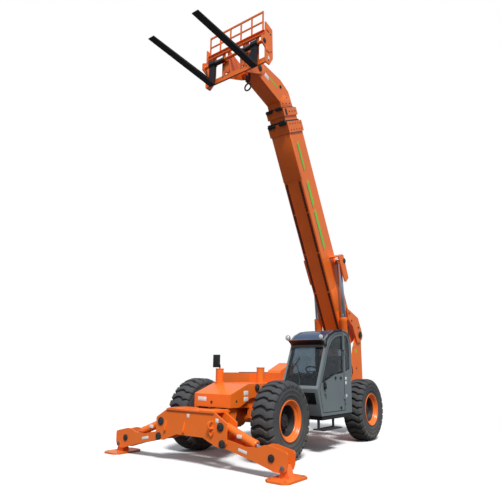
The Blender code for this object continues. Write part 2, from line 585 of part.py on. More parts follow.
inner_slide = frame("inner_slide", mid_slide, PIVOT_X, 0.0, PIVOT_Z, BOOM_ANGLE)
side = 0.185
TILT_X = 1.43
TILT_Z = 8.20
NECK = [(6.235, OUTER_LOW + INNER_D - 0.01), (6.36, OUTER_LOW + INNER_D - 0.01), (7.06, -1.37), (7.12, -1.40),
        (7.18, -1.37), (7.26, -0.93), (6.89, -0.33), (6.60, -0.08), (6.235, OUTER_TOP - INNER_D + 0.01)]
HOOK_X = 1.57
HOOK_Z = 8.03


def along_boom(x, z):
    """Machine side view to boom coordinates."""
    dx = x - PIVOT_X
    dz = z - PIVOT_Z
    c = math.cos(BOOM_ANGLE)
    s = math.sin(BOOM_ANGLE)
    return (dx * c + dz * s, dz * c - dx * s)


inner_body = box(0.75, 6.30, -OUTER_HALF + INNER_D, OUTER_HALF - INNER_D, OUTER_LOW + INNER_D, OUTER_TOP - INNER_D)
neck = outline(NECK, -side, side, "xz")
room_cut = box(0.5, 6.40, -OUTER_HALF + INNER_D + WALL, OUTER_HALF - INNER_D - WALL,
               OUTER_LOW + INNER_D + WALL, OUTER_TOP - INNER_D - WALL)
lug = outline([along_boom(HOOK_X - 0.05, 8.14), along_boom(HOOK_X - 0.03, HOOK_Z - 0.03),
               along_boom(HOOK_X + 0.03, HOOK_Z - 0.03), along_boom(HOOK_X + 0.05, 8.14)], -0.025, 0.025, "xz")
tilt_u, tilt_w = along_boom(TILT_X, TILT_Z)
hook_u, hook_w = along_boom(HOOK_X, HOOK_Z)
neck_cuts = [room_cut, pin_hole((tilt_u, -0.3, tilt_w), (tilt_u, 0.3, tilt_w), 0.045),
             pin_hole((hook_u, -0.1, hook_w), (hook_u, 0.1, hook_w), 0.012)]
node("boom_inner", "orange", [inner_body, neck, lug], inner_slide, cuts=neck_cuts, local=True)

# ---------------------------------------------------------------- carriage and forks
tilt = frame("carriage_tilt", inner_slide, TILT_X, 0.0, TILT_Z)
BACK = 2.02
SHAFT_X = 2.12
SHAFT_Z = 8.22
HALF = 0.84
GRILLE_HALF = 0.76
carriage = [box(BACK, BACK + 0.03, -HALF + 0.02, HALF - 0.02, 7.75, 7.88)]
carriage.append(box(BACK, BACK + 0.03, -HALF + 0.02, HALF - 0.02, 8.44, 8.54))
for sign in (1, -1):
    mid = sign * (HALF - 0.015)
    plate = [(BACK - 0.22, 7.95), (BACK - 0.10, 7.75), (BACK + 0.05, 7.75), (BACK + 0.05, SHAFT_Z - 0.13),
             (SHAFT_X + 0.08, SHAFT_Z - 0.07), (SHAFT_X + 0.08, SHAFT_Z + 0.09), (BACK + 0.05, SHAFT_Z + 0.17),
             (BACK + 0.05, 8.72), (BACK - 0.20, 8.66)]
    carriage.append(outline(plate, mid - 0.015, mid + 0.015, "xz"))
    bracket = [(TILT_X - 0.11, TILT_Z), (TILT_X - 0.06, TILT_Z - 0.11), (TILT_X + 0.10, TILT_Z - 0.20),
               (BACK + 0.01, 7.78), (BACK + 0.01, 8.52), (TILT_X + 0.12, TILT_Z + 0.16),
               (TILT_X - 0.06, TILT_Z + 0.11)]
    mid = sign * 0.215
    carriage.append(outline(bracket, mid - 0.015, mid + 0.015, "xz"))
    for y in (0.33, 0.60):
        carriage.append(box(BACK + 0.005, BACK + 0.025, sign * y - 0.04, sign * y + 0.04, 7.80, 8.50))
carriage.append(pin((SHAFT_X, -HALF + 0.01, SHAFT_Z), (SHAFT_X, HALF - 0.01, SHAFT_Z), 0.035))
carriage.append(pin((TILT_X, -0.225, TILT_Z), (TILT_X, 0.225, TILT_Z), 0.045))
for sign in (1, -1):
    carriage.append(rod((TILT_X, sign * (0.185 + GAP), TILT_Z), (TILT_X, sign * 0.21, TILT_Z), 0.08))
GRILLE_X = BACK + 0.005
for z0, z1 in ((9.00, 9.04), (8.755, 8.785)):
    carriage.append(box(GRILLE_X, GRILLE_X + 0.025, -GRILLE_HALF, GRILLE_HALF, z0, z1))
for i in range(6):
    y = (i / 2.5 - 1.0) * (GRILLE_HALF - 0.015)
    carriage.append(box(GRILLE_X, GRILLE_X + 0.025, y - 0.015, y + 0.015, 8.50, 9.02))
node("fork_carriage", "orange", carriage, tilt)

for side_name, sign in (("left", 1), ("right", -1)):
    shift = frame("fork_" + side_name + "_shift", tilt, SHAFT_X, sign * FORK_Y, SHAFT_Z)
    c = math.cos(FORK_SLOPE)
    s = math.sin(FORK_SLOPE)
    tip = (FORK_X + FORK_LEN * c, FORK_Z + FORK_LEN * s)
    shape = [(FORK_X - 0.055, FORK_Z), (FORK_X, FORK_Z), tip, (tip[0] - 0.005, tip[1] + 0.02),
             (FORK_X + 0.03, FORK_Z + 0.065), (FORK_X, FORK_Z + 0.10), (FORK_X, SHAFT_Z - 0.07),
             (SHAFT_X + 0.075, SHAFT_Z - 0.02), (SHAFT_X + 0.06, SHAFT_Z + 0.06), (SHAFT_X, SHAFT_Z + 0.075),
             (SHAFT_X - 0.055, SHAFT_Z + 0.05), (SHAFT_X - 0.065, SHAFT_Z - 0.04), (FORK_X - 0.055, SHAFT_Z - 0.10)]
    eye = pin_hole((SHAFT_X, sign * FORK_Y - 0.2, SHAFT_Z), (SHAFT_X, sign * FORK_Y + 0.2, SHAFT_Z), 0.035)
    node("fork_" + side_name, "dark", [outline(shape, sign * FORK_Y - 0.075, sign * FORK_Y + 0.075, "xz")],
         shift, cuts=[eye])

# ---------------------------------------------------------------- lift cylinders
eye_x = PIVOT_X + LIFT_EYE_U * math.cos(BOOM_ANGLE) - LIFT_EYE_W * math.sin(BOOM_ANGLE)
eye_z = PIVOT_Z + LIFT_EYE_U * math.sin(BOOM_ANGLE) + LIFT_EYE_W * math.cos(BOOM_ANGLE)
lift_len = math.hypot(eye_x - LIFT_BASE_X, eye_z - LIFT_BASE_Z)
lift_angle = math.atan2(eye_z - LIFT_BASE_Z, eye_x - LIFT_BASE_X)
BARREL_END = 1.66
for side_name, sign in (("left", 1), ("right", -1)):
    y = sign * LIFT_Y
    swing = frame("lift_" + side_name + "_swing", root, LIFT_BASE_X, y, LIFT_BASE_Z, lift_angle)
    barrel = [rod((0.13, 0.0, 0.0), (BARREL_END, 0.0, 0.0), LIFT_BARREL_R),
              rod((0.0, -0.060, 0.0), (0.0, 0.060, 0.0), 0.085),
              box(0.0, 0.16, -0.050, 0.050, -0.075, 0.075)]
    bore = [rod((0.15, 0.0, 0.0), (BARREL_END + 0.2, 0.0, 0.0), LIFT_ROD_R + GAP),
            pin_hole((0.0, -0.2, 0.0), (0.0, 0.2, 0.0), 0.035)]
    node("lift_barrel_" + side_name, "orange", barrel, swing, cuts=bore, local=True)
    stroke = frame("lift_" + side_name + "_stroke", swing, LIFT_BASE_X, y, LIFT_BASE_Z, lift_angle)
    piston = [rod((lift_len - 1.67, 0.0, 0.0), (lift_len - 0.05, 0.0, 0.0), LIFT_ROD_R),
              rod((lift_len, -LIFT_EYE_HALF, 0.0), (lift_len, LIFT_EYE_HALF, 0.0), 0.085)]
    node("lift_rod_" + side_name, "chrome", piston, stroke, local=True)

# ---------------------------------------------------------------- outriggers
push_angle = math.atan2(LEG_ROD_Z - LEG_TOP_Z, LEG_ROD_Y - LEG_TOP_Y)
push_len = math.hypot(LEG_ROD_Z - LEG_TOP_Z, LEG_ROD_Y - LEG_TOP_Y)
PUSH_R = 0.072
PUSH_ROD_R = 0.036
PUSH_END = 0.65
LEG = [(0.65, 0.39), (0.68, 0.33), (0.80, 0.315), (1.30, 0.205), (1.683, 0.10), (1.80, 0.10), (1.87, 0.13),
       (1.90, 0.20), (1.91, 0.36), (1.88, 0.39), (1.60, 0.45), (1.50, 0.45), (1.36, 0.40), (1.136, 0.391),
       (0.941, 0.433), (0.80, 0.46), (0.70, 0.45), (0.66, 0.42)]
LEG_BASE = [(0.80, 0.316), (1.30, 0.206), (1.55, 0.1374), (1.556, 0.157), (1.304, 0.226), (0.804, 0.336)]
leg_out = LEG_ROOM + LEG_PLATE
across = Vector((1.0, 0.0, 0.0))
for side_name, sign in (("left", 1), ("right", -1)):
    hinge = frame("leg_" + side_name + "_hinge", root, LEG_X, sign * LEG_HINGE_Y, LEG_HINGE_Z)
    points = mirrored(LEG, sign)
    leg = [outline(points, LEG_X + LEG_ROOM, LEG_X + leg_out, "yz"),
           outline(points, LEG_X - leg_out, LEG_X - LEG_ROOM, "yz"),
           outline(mirrored(LEG_BASE, sign), LEG_X - LEG_ROOM - 0.002, LEG_X + LEG_ROOM + 0.002, "yz")]
    eye = Vector((LEG_X, sign * LEG_ROD_Y, LEG_ROD_Z))
    for way in (1, -1):
        leg.append(pin(eye + across * way * (leg_out - 0.008), eye + across * way * (leg_out + 0.012), 0.03))
    holes = [pin_hole((LEG_X - 0.2, sign * LEG_HINGE_Y, LEG_HINGE_Z),
                      (LEG_X + 0.2, sign * LEG_HINGE_Y, LEG_HINGE_Z), 0.03),
             pin_hole((LEG_X - 0.2, sign * FOOT_Y, FOOT_Z), (LEG_X + 0.2, sign * FOOT_Y, FOOT_Z), 0.02)]
    node("outrigger_leg_" + side_name, "orange", leg, hinge, cuts=holes)

    swing = frame("push_" + side_name + "_swing", root, LEG_X, sign * LEG_TOP_Y, LEG_TOP_Z)
    d = Vector((0.0, sign * math.cos(push_angle), math.sin(push_angle)))
    top = Vector((LEG_X, sign * LEG_TOP_Y, LEG_TOP_Z))
    barrel = [rod(top + d * 0.07, top + d * PUSH_END, PUSH_R), rod(top - across * 0.06, top + across * 0.06, 0.05),
              rod(top, top + d * 0.1, 0.035)]
    bore = [rod(top + d * 0.10, top + d * 0.8, PUSH_ROD_R + GAP),
            pin_hole(top - across * 0.2, top + across * 0.2, 0.025)]
    node("outrigger_barrel_" + side_name, "orange", barrel, swing, cuts=bore)
    stroke = frame("push_" + side_name + "_stroke", swing, LEG_X, sign * LEG_TOP_Y, LEG_TOP_Z)
    half = LEG_ROOM - GAP
    piston = [rod(top + d * (push_len - 0.60), eye - d * 0.03, PUSH_ROD_R),
              rod(eye - across * half, eye + across * half, 0.045)]
    node("outrigger_rod_" + side_name, "chrome", piston, stroke)

    foot = frame("foot_" + side_name + "_pivot", hinge, LEG_X, sign * FOOT_Y, FOOT_Z)
    hx = FOOT_HALF_X
    hy = FOOT_HALF_Y
    k = 0.08
    sole = [(hx - k, -hy), (hx, -hy + k), (hx, hy - k), (hx - k, hy), (-hx + k, hy), (-hx, hy - k),
            (-hx, -hy + k), (-hx + k, -hy)]
    cy = sign * FOOT_Y
    pad = [outline([(LEG_X + px, cy + py) for px, py in sole], 0.0, 0.03, "xy")]
    post = [(cy - 0.09, 0.02), (cy + 0.09, 0.02), (cy + 0.045, FOOT_Z + 0.01), (cy + 0.03, FOOT_Z + 0.04),
            (cy - 0.03, FOOT_Z + 0.04), (cy - 0.045, FOOT_Z + 0.01)]
    pad.append(outline(post, LEG_X - 0.07, LEG_X + 0.07, "yz"))
    pad.append(pin((LEG_X - leg_out - 0.012, cy, FOOT_Z), (LEG_X + leg_out + 0.012, cy, FOOT_Z), 0.02))
    node("outrigger_foot_" + side_name, "orange", pad, foot)

# ---------------------------------------------------------------- hook
hook_frame = frame("hook_swing", inner_slide, HOOK_X, 0.0, HOOK_Z)
bpy.ops.mesh.primitive_torus_add(major_radius=0.085, minor_radius=0.018, major_segments=14, minor_segments=6)
ring = bpy.context.object
ring.location = (HOOK_X, 0.0, 7.72)
ring.rotation_euler = (0.0, math.pi / 2, 0.0)
hook = [ring, rod((HOOK_X, 0.0, 7.80), (HOOK_X, 0.0, 7.90), 0.02),
        box(HOOK_X - 0.03, HOOK_X + 0.03, -0.05, 0.05, 7.86, 7.97),
        pin((HOOK_X, -0.045, HOOK_Z), (HOOK_X, 0.045, HOOK_Z), 0.012)]
for sign in (1, -1):
    hook.append(box(HOOK_X - 0.025, HOOK_X + 0.025, sign * 0.04 - 0.01, sign * 0.04 + 0.01, 7.96, HOOK_Z + 0.03))
node("hook", "dark", hook, hook_frame)
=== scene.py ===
import math
import bmesh
import bpy
from mathutils import Matrix, Vector


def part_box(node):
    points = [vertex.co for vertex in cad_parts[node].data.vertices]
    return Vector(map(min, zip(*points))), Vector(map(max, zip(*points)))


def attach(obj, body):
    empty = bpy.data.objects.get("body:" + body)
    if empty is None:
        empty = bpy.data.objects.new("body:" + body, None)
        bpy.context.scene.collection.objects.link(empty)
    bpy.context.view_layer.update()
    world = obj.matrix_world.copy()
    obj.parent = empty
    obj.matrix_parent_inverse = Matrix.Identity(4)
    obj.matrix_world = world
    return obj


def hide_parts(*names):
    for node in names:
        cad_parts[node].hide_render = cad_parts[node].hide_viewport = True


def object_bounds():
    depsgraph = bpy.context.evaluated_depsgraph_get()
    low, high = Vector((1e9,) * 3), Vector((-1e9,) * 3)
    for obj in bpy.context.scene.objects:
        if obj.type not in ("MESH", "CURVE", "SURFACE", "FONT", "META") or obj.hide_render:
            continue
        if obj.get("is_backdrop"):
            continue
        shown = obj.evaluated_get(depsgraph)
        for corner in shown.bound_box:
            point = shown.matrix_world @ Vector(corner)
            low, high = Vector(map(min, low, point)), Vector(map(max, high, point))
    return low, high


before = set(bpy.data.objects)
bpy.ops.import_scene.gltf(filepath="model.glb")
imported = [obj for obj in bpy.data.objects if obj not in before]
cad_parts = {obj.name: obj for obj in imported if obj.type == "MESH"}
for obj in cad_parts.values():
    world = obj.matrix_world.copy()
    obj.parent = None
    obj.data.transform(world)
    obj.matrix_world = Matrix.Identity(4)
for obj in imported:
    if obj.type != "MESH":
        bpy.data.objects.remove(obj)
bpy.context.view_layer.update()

# ---------------------------------------------------------------- sizes shared with the CAD, in metres
WHEELBASE = 3.48
TYRE_R = 0.674
TRACK_HALF = 0.9825
BOOM_ANGLE = math.radians(62.1)
PIVOT = (-3.0, 2.47)
OUTER_HALF = 0.25
OUTER_LOW = -0.69
OUTER_TOP = 0.014
CAB_IN = 0.37
CAB_OUT = 1.20
LEG_X = 2.88
FOOT = (1.82, 0.165)
LIFT_Y = 0.37
POSTS = ((1.42, 0.30, 1.56), (1.88, -0.34, 1.53))
FORK_Y = 0.585
TILT = (1.43, 8.20)
SHAFT = (2.12, 8.22)

rim_low, rim_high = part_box("front_left_rim")
SHIFT = (rim_low.x + rim_high.x) / 2 - WHEELBASE / 2
MACHINE = Matrix.Translation((SHIFT, 0.0, 0.0))
BOOM = MACHINE @ Matrix.Translation((PIVOT[0], 0.0, PIVOT[1])) @ Matrix.Rotation(-BOOM_ANGLE, 4, "Y")

GAP = 0.0003              # seating gap between touching pieces
# faces that added pieces sit on, each with that gap
NOSE_FRONT = 2.4703
NOSE_SIDE = 0.4193
NOSE_TOP = 1.2753
POD_FRONT = -0.8603
RAIL_SIDE = 0.3603
CARRIAGE_FRONT = 2.0503


# ---------------------------------------------------------------- materials
def surface(name, colour, rough, metal=0.0, vary=0.10, patch=1.6, grain=60.0, bump=0.0, dust=0.0,
            worn_and_highlight=None, wear_and_highlight=0.0, clear=0.0):
    """Node material: cloudy colour change, fine grain, dust that thins out with height, edges lightened partly as
    wear and partly as a painted highlight.
    """
    mat = bpy.data.materials.new(name)
    mat.use_nodes = True
    tree = mat.node_tree
    shader = tree.nodes["Principled BSDF"]
    link = tree.links.new

    def add(kind, **values):
        made = tree.nodes.new(kind)
        for key, value in values.items():
            setattr(made, key, value)
        return made

    def blend(factor, a, b):
        mix = add("ShaderNodeMix", data_type="RGBA")
        link(factor, mix.inputs[0])
        for socket, value in ((mix.inputs[6], a), (mix.inputs[7], b)):
            if isinstance(value, tuple):
                socket.default_value = (*value, 1.0)
            else:
                link(value, socket)
        return mix.outputs[2]

    def steps(source, low, high, out_low=0.0, out_high=1.0):
        ramp = add("ShaderNodeMapRange")
        link(source, ramp.inputs["Value"])
        ramp.inputs["From Min"].default_value = low
        ramp.inputs["From Max"].default_value = high
        ramp.inputs["To Min"].default_value = out_low
        ramp.inputs["To Max"].default_value = out_high
        return ramp.outputs["Result"]

    place = add("ShaderNodeTexCoord").outputs["Object"]
    cloud = add("ShaderNodeTexNoise")
    link(place, cloud.inputs["Vector"])
    cloud.inputs["Scale"].default_value = patch
    cloud.inputs["Detail"].default_value = 5.0
    fine = add("ShaderNodeTexNoise")
    link(place, fine.inputs["Vector"])
    fine.inputs["Scale"].default_value = grain
    fine.inputs["Detail"].default_value = 3.0
    dark = tuple(c * (1.0 - vary) for c in colour)
    light = tuple(min(1.0, c * (1.0 + vary)) for c in colour)
    shade = blend(steps(cloud.outputs["Fac"], 0.35, 0.65), dark, light)
    if dust > 0.0:
        height = add("ShaderNodeSeparateXYZ")
        link(place, height.inputs[0])
        low = steps(height.outputs["Z"], 0.9, 0.0, 0.0, dust)
        speck = add("ShaderNodeMath", operation="MULTIPLY")
        link(low, speck.inputs[0])
        link(steps(fine.outputs["Fac"], 0.35, 0.65, 0.4, 1.0), speck.inputs[1])
        shade = blend(speck.outputs[0], shade, (0.30, 0.25, 0.19))
    # edges lighter in noisy patches: partly rubbed paint, partly a painted highlight along the edges
    if worn_and_highlight is not None:
        edge = add("ShaderNodeBevel", samples=4)
        edge.inputs["Radius"].default_value = 0.010
        normal = add("ShaderNodeNewGeometry")
        dot = add("ShaderNodeVectorMath", operation="DOT_PRODUCT")
        link(edge.outputs[0], dot.inputs[0])
        link(normal.outputs["Normal"], dot.inputs[1])
        rim = add("ShaderNodeMath", operation="MULTIPLY")
        link(steps(dot.outputs["Value"], 0.995, 0.90, 0.0, wear_and_highlight), rim.inputs[0])
        link(steps(fine.outputs["Fac"], 0.45, 0.60), rim.inputs[1])
        shade = blend(rim.outputs[0], shade, worn_and_highlight)
    link(shade, shader.inputs["Base Color"])
    polish = steps(cloud.outputs["Fac"], 0.3, 0.7, max(rough - 0.06, 0.02), rough + 0.06)
    link(polish, shader.inputs["Roughness"])
    shader.inputs["Metallic"].default_value = metal
    shader.inputs["Coat Weight"].default_value = clear
    shader.inputs["Coat Roughness"].default_value = 0.15
    if bump > 0.0:
        relief = add("ShaderNodeBump")
        relief.inputs["Strength"].default_value = 0.6
        relief.inputs["Distance"].default_value = bump
        link(fine.outputs["Fac"], relief.inputs["Height"])
        link(relief.outputs[0], shader.inputs["Normal"])
    return mat


def pane(name, tint, through):
    mat = surface(name, tint, 0.04, vary=0.03, patch=0.8)
    shader = mat.node_tree.nodes["Principled BSDF"]
    shader.inputs["Transmission Weight"].default_value = through
    shader.inputs["IOR"].default_value = 1.45
    return mat


ORANGE = surface("orange_paint", (0.93, 0.175, 0.014), 0.36, vary=0.05, grain=180.0, bump=0.0004, dust=0.10,
                 worn_and_highlight=(0.98, 0.34, 0.10), wear_and_highlight=0.5, clear=0.15)
GREY = surface("grey_cab_paint", (0.165, 0.195, 0.205), 0.38, vary=0.05, grain=160.0, bump=0.0004, dust=0.06,
               worn_and_highlight=(0.30, 0.33, 0.34), wear_and_highlight=0.4, clear=0.15)
DARK = surface("dark_steel", (0.035, 0.036, 0.040), 0.50, metal=0.4, vary=0.18, grain=90.0, bump=0.0006,
               dust=0.10, worn_and_highlight=(0.16, 0.16, 0.17), wear_and_highlight=0.5)
FORK = surface("fork_steel", (0.022, 0.023, 0.030), 0.42, metal=0.5, vary=0.20, patch=4.0, grain=70.0,
               bump=0.0006, worn_and_highlight=(0.22, 0.22, 0.23), wear_and_highlight=0.7)
PINCAP = surface("pin_steel", (0.045, 0.050, 0.055), 0.55, metal=0.5, vary=0.15, grain=120.0, bump=0.0004,
                 worn_and_highlight=(0.30, 0.30, 0.30), wear_and_highlight=0.5)
STEEL = surface("bare_steel", (0.42, 0.43, 0.45), 0.36, metal=1.0, vary=0.08, grain=120.0, bump=0.0003)
CHROME = surface("chrome_rod", (0.62, 0.68, 0.80), 0.14, metal=1.0, vary=0.04, patch=6.0, grain=200.0)
RUBBER = surface("tyre_rubber", (0.058, 0.059, 0.062), 0.80, vary=0.14, patch=5.0, grain=110.0, bump=0.0012,
                 dust=0.20)
BLACK = surface("black_plastic", (0.014, 0.015, 0.017), 0.50, vary=0.12, grain=220.0, bump=0.0006)
GLOSS = surface("black_gloss", (0.010, 0.011, 0.013), 0.12, vary=0.08, patch=3.0, grain=220.0, clear=0.6)
HOSE = surface("hose_rubber", (0.020, 0.020, 0.022), 0.62, vary=0.12, grain=260.0, bump=0.0006)
TRACK = surface("hose_track", (0.085, 0.026, 0.016), 0.62, vary=0.20, grain=90.0, bump=0.0006)
FABRIC = surface("seat_fabric", (0.026, 0.027, 0.031), 0.92, vary=0.18, patch=14.0, grain=520.0, bump=0.0016)
PLATE = surface("blank_plate", (0.80, 0.80, 0.78), 0.42, vary=0.04, patch=9.0, grain=200.0)
STRIPE = surface("green_stripe", (0.16, 0.62, 0.045), 0.38, vary=0.06, grain=180.0, clear=0.15)
LENS = surface("lamp_lens", (0.72, 0.76, 0.78), 0.12, vary=0.05, patch=30.0, grain=300.0, clear=0.5)
RED = surface("tail_lens", (0.45, 0.012, 0.010), 0.18, vary=0.08, patch=40.0, grain=300.0, clear=0.5)
AMBER = surface("amber_lens", (0.80, 0.26, 0.010), 0.18, vary=0.08, patch=40.0, grain=300.0, clear=0.5)
GLASS = pane("cab_glass", (0.30, 0.36, 0.40), 1.0)
ROOF_GLASS = pane("roof_glass_blue", (0.055, 0.10, 0.20), 0.35)
MIRROR = surface("mirror_glass", (0.62, 0.66, 0.70), 0.05, metal=1.0, vary=0.03, patch=8.0)

LOOKS = {
    "fork_left": FORK, "fork_right": FORK, "hook": DARK, "engine_block": DARK, "cab_step": DARK,
    "cab_shell": GREY, "cab_door": GREY, "roof_glass": ROOF_GLASS, "outer_pads": BLACK, "mid_pads": BLACK,
    "seat_frame": BLACK, "console": BLACK, "steering_column": BLACK, "counterweight": ORANGE,
}


def look_of(name):
    if name in LOOKS:
        return LOOKS[name]
    if "glass" in name or name == "windscreen":
        return GLASS
    if "tyre" in name:
        return RUBBER
    if "_rod_" in name:
        return CHROME
    return ORANGE


# ---------------------------------------------------------------- smoothing for every mesh
def smoothing_group():
    """Geometry nodes that shade smooth and keep edges over 32 degrees sharp."""
    group = bpy.data.node_groups.new("smooth_by_angle", "GeometryNodeTree")
    group.interface.new_socket("Geometry", in_out="INPUT", socket_type="NodeSocketGeometry")
    group.interface.new_socket("Geometry", in_out="OUTPUT", socket_type="NodeSocketGeometry")
    start = group.nodes.new("NodeGroupInput")
    end = group.nodes.new("NodeGroupOutput")
    smooth = group.nodes.new("GeometryNodeSetShadeSmooth")
    sharp = group.nodes.new("GeometryNodeSetShadeSmooth")
    smooth.domain = "FACE"
    sharp.domain = "EDGE"
    sharp.inputs["Shade Smooth"].default_value = False
    angle = group.nodes.new("GeometryNodeInputMeshEdgeAngle")
    over = group.nodes.new("FunctionNodeCompare")
    over.data_type = "FLOAT"
    over.operation = "GREATER_THAN"
    over.inputs[1].default_value = math.radians(32.0)
    group.links.new(angle.outputs["Unsigned Angle"], over.inputs[0])
    group.links.new(over.outputs[0], sharp.inputs["Selection"])
    group.links.new(start.outputs[0], smooth.inputs["Geometry"])
    group.links.new(smooth.outputs[0], sharp.inputs["Geometry"])
    group.links.new(sharp.outputs[0], end.inputs[0])
    return group


SMOOTH = smoothing_group()


def soften(obj, width, segments=2):
    """Rounded edges of this width, then smooth shading."""
    if width > 0.0:
        edge = obj.modifiers.new("edge", "BEVEL")
        edge.width = width
        edge.segments = segments
        edge.limit_method = "ANGLE"
        edge.angle_limit = math.radians(32.0)
    shade = obj.modifiers.new("shade", "NODES")
    shade.node_group = SMOOTH


for name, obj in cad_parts.items():
    obj.data.materials.clear()
    obj.data.materials.append(look_of(name))
    if "custom_normal" in obj.data.attributes:
        obj.data.attributes.remove(obj.data.attributes["custom_normal"])
    weld = obj.modifiers.new("weld", "WELD")
    weld.merge_threshold = 0.00005
    soften(obj, 0.0)


# ---------------------------------------------------------------- mesh builder
class Build:
    """Collects solids in one mesh, in the coordinates of the matrix at."""

    def __init__(self, at=MACHINE):
        self.mesh = bmesh.new()
        self.at = at

    def box(self, x0, x1, y0, y1, z0, z1, turn=None):
        mid = Matrix.Translation(((x0 + x1) / 2, (y0 + y1) / 2, (z0 + z1) / 2))
        size = Matrix.Diagonal((x1 - x0, y1 - y0, z1 - z0, 1.0))
        turn = Matrix.Identity(4) if turn is None else turn
        bmesh.ops.create_cube(self.mesh, size=1.0, matrix=self.at @ mid @ turn @ size)

    def cyl(self, a, b, r, r2=None, sides=28):
        a = Vector(a)
        b = Vector(b)
        turn = (b - a).to_track_quat("Z", "Y").to_matrix().to_4x4()
        place = self.at @ Matrix.Translation((a + b) / 2) @ turn
        bmesh.ops.create_cone(self.mesh, cap_ends=True, segments=sides, radius1=r,
                              radius2=r if r2 is None else r2, depth=(b - a).length, matrix=place)

    def bolt(self, at, way, r=0.016, h=0.012):
        """Hexagon head on a washer."""
        at = Vector(at)
        way = Vector(way).normalized()
        self.cyl(at, at + way * h * 0.3, r * 1.35, sides=16)
        self.cyl(at + way * h * 0.25, at + way * h, r, sides=6)

    def ball(self, at, r, stretch=(1.0, 1.0, 1.0), u=20, v=12):
        place = self.at @ Matrix.Translation(at) @ Matrix.Diagonal((*stretch, 1.0))
        bmesh.ops.create_uvsphere(self.mesh, u_segments=u, v_segments=v, radius=r, matrix=place)

    def prism(self, points, low, high, plane):
        """Flat outline with thickness; plane names the outline's two axes."""
        put = {"xz": lambda a, b, c: (a, c, b), "yz": lambda a, b, c: (c, a, b)}[plane]
        ends = [[self.mesh.verts.new(self.at @ Vector(put(a, b, c))) for a, b in points] for c in (low, high)]
        faces = [self.mesh.faces.new(ends[0]), self.mesh.faces.new(list(reversed(ends[1])))]
        for i in range(len(points)):
            k = (i + 1) % len(points)
            faces.append(self.mesh.faces.new((ends[0][i], ends[0][k], ends[1][k], ends[1][i])))
        bmesh.ops.recalc_face_normals(self.mesh, faces=faces)

    def side(self, points, sign, y, thick):
        """Outline in x and z, raised by thick from the face at y on the sign's side."""
        near, far = sorted((sign * y, sign * (y + thick)))
        self.prism(points, near, far, "xz")

    def turned(self, profile, centre, axis, steps=72):
        """Closed (radius, height) profile turned about axis through centre."""
        turn = Vector(axis).to_track_quat("Z", "Y").to_matrix().to_4x4()
        place = self.at @ Matrix.Translation(centre) @ turn
        rings = []
        for i in range(steps):
            a = 2 * math.pi * i / steps
            rings.append([self.mesh.verts.new(place @ Vector((r * math.cos(a), r * math.sin(a), h)))
                          for r, h in profile])
        faces = []
        for i in range(steps):
            here = rings[i]
            there = rings[(i + 1) % steps]
            for k in range(len(profile)):
                n = (k + 1) % len(profile)
                faces.append(self.mesh.faces.new((here[k], there[k], there[n], here[n])))
        bmesh.ops.recalc_face_normals(self.mesh, faces=faces)

    def tube(self, points, r, sides=10, closed=False):
        """Round tube along a smooth line through the points."""
        line = []
        count = len(points)
        pts = [Vector(p) for p in points]
        spans = count if closed else count - 1
        for i in range(spans):
            p0 = pts[(i - 1) % count] if closed or i > 0 else pts[0]
            p1 = pts[i % count]
            p2 = pts[(i + 1) % count]
            p3 = pts[(i + 2) % count] if closed or i + 2 < count else pts[-1]
            for k in range(6):
                t = k / 6
                line.append(0.5 * ((2 * p1) + (p2 - p0) * t + (2 * p0 - 5 * p1 + 4 * p2 - p3) * t * t
                                   + (3 * p1 - p0 - 3 * p2 + p3) * t * t * t))
        if not closed:
            line.append(pts[-1])
        self.sweep(line, r, sides, closed)

    def sweep(self, line, r, sides=8, closed=False):
        rings = []
        count = len(line)
        normal = None
        for i, here in enumerate(line):
            if closed:
                way = line[(i + 1) % count] - line[i - 1]
            else:
                way = line[min(i + 1, count - 1)] - line[max(i - 1, 0)]
            way.normalize()
            if normal is None:
                normal = way.orthogonal().normalized()
            normal = (normal - way * normal.dot(way)).normalized()
            side = way.cross(normal)
            ring = []
            for k in range(sides):
                a = 2 * math.pi * k / sides
                spot = here + (normal * math.cos(a) + side * math.sin(a)) * r
                ring.append(self.mesh.verts.new(self.at @ spot))
            rings.append(ring)
        faces = []
        for i in range(count if closed else count - 1):
            here = rings[i]
            there = rings[(i + 1) % count]
            for k in range(sides):
                n = (k + 1) % sides
                faces.append(self.mesh.faces.new((here[k], here[n], there[n], there[k])))
        if not closed:
            faces.append(self.mesh.faces.new(rings[0]))
            faces.append(self.mesh.faces.new(list(reversed(rings[-1]))))
        bmesh.ops.recalc_face_normals(self.mesh, faces=faces)

    def done(self, name, body, look, edge=0.003, stands_for=()):
        data = bpy.data.meshes.new(name)
        self.mesh.to_mesh(data)
        self.mesh.free()
        obj = bpy.data.objects.new(name, data)
        bpy.context.scene.collection.objects.link(obj)
        data.materials.append(look)
        soften(obj, edge)
        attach(obj, body)
        if stands_for:
            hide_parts(*stands_for)
        return obj


SIDES = (("left", 1), ("right", -1))

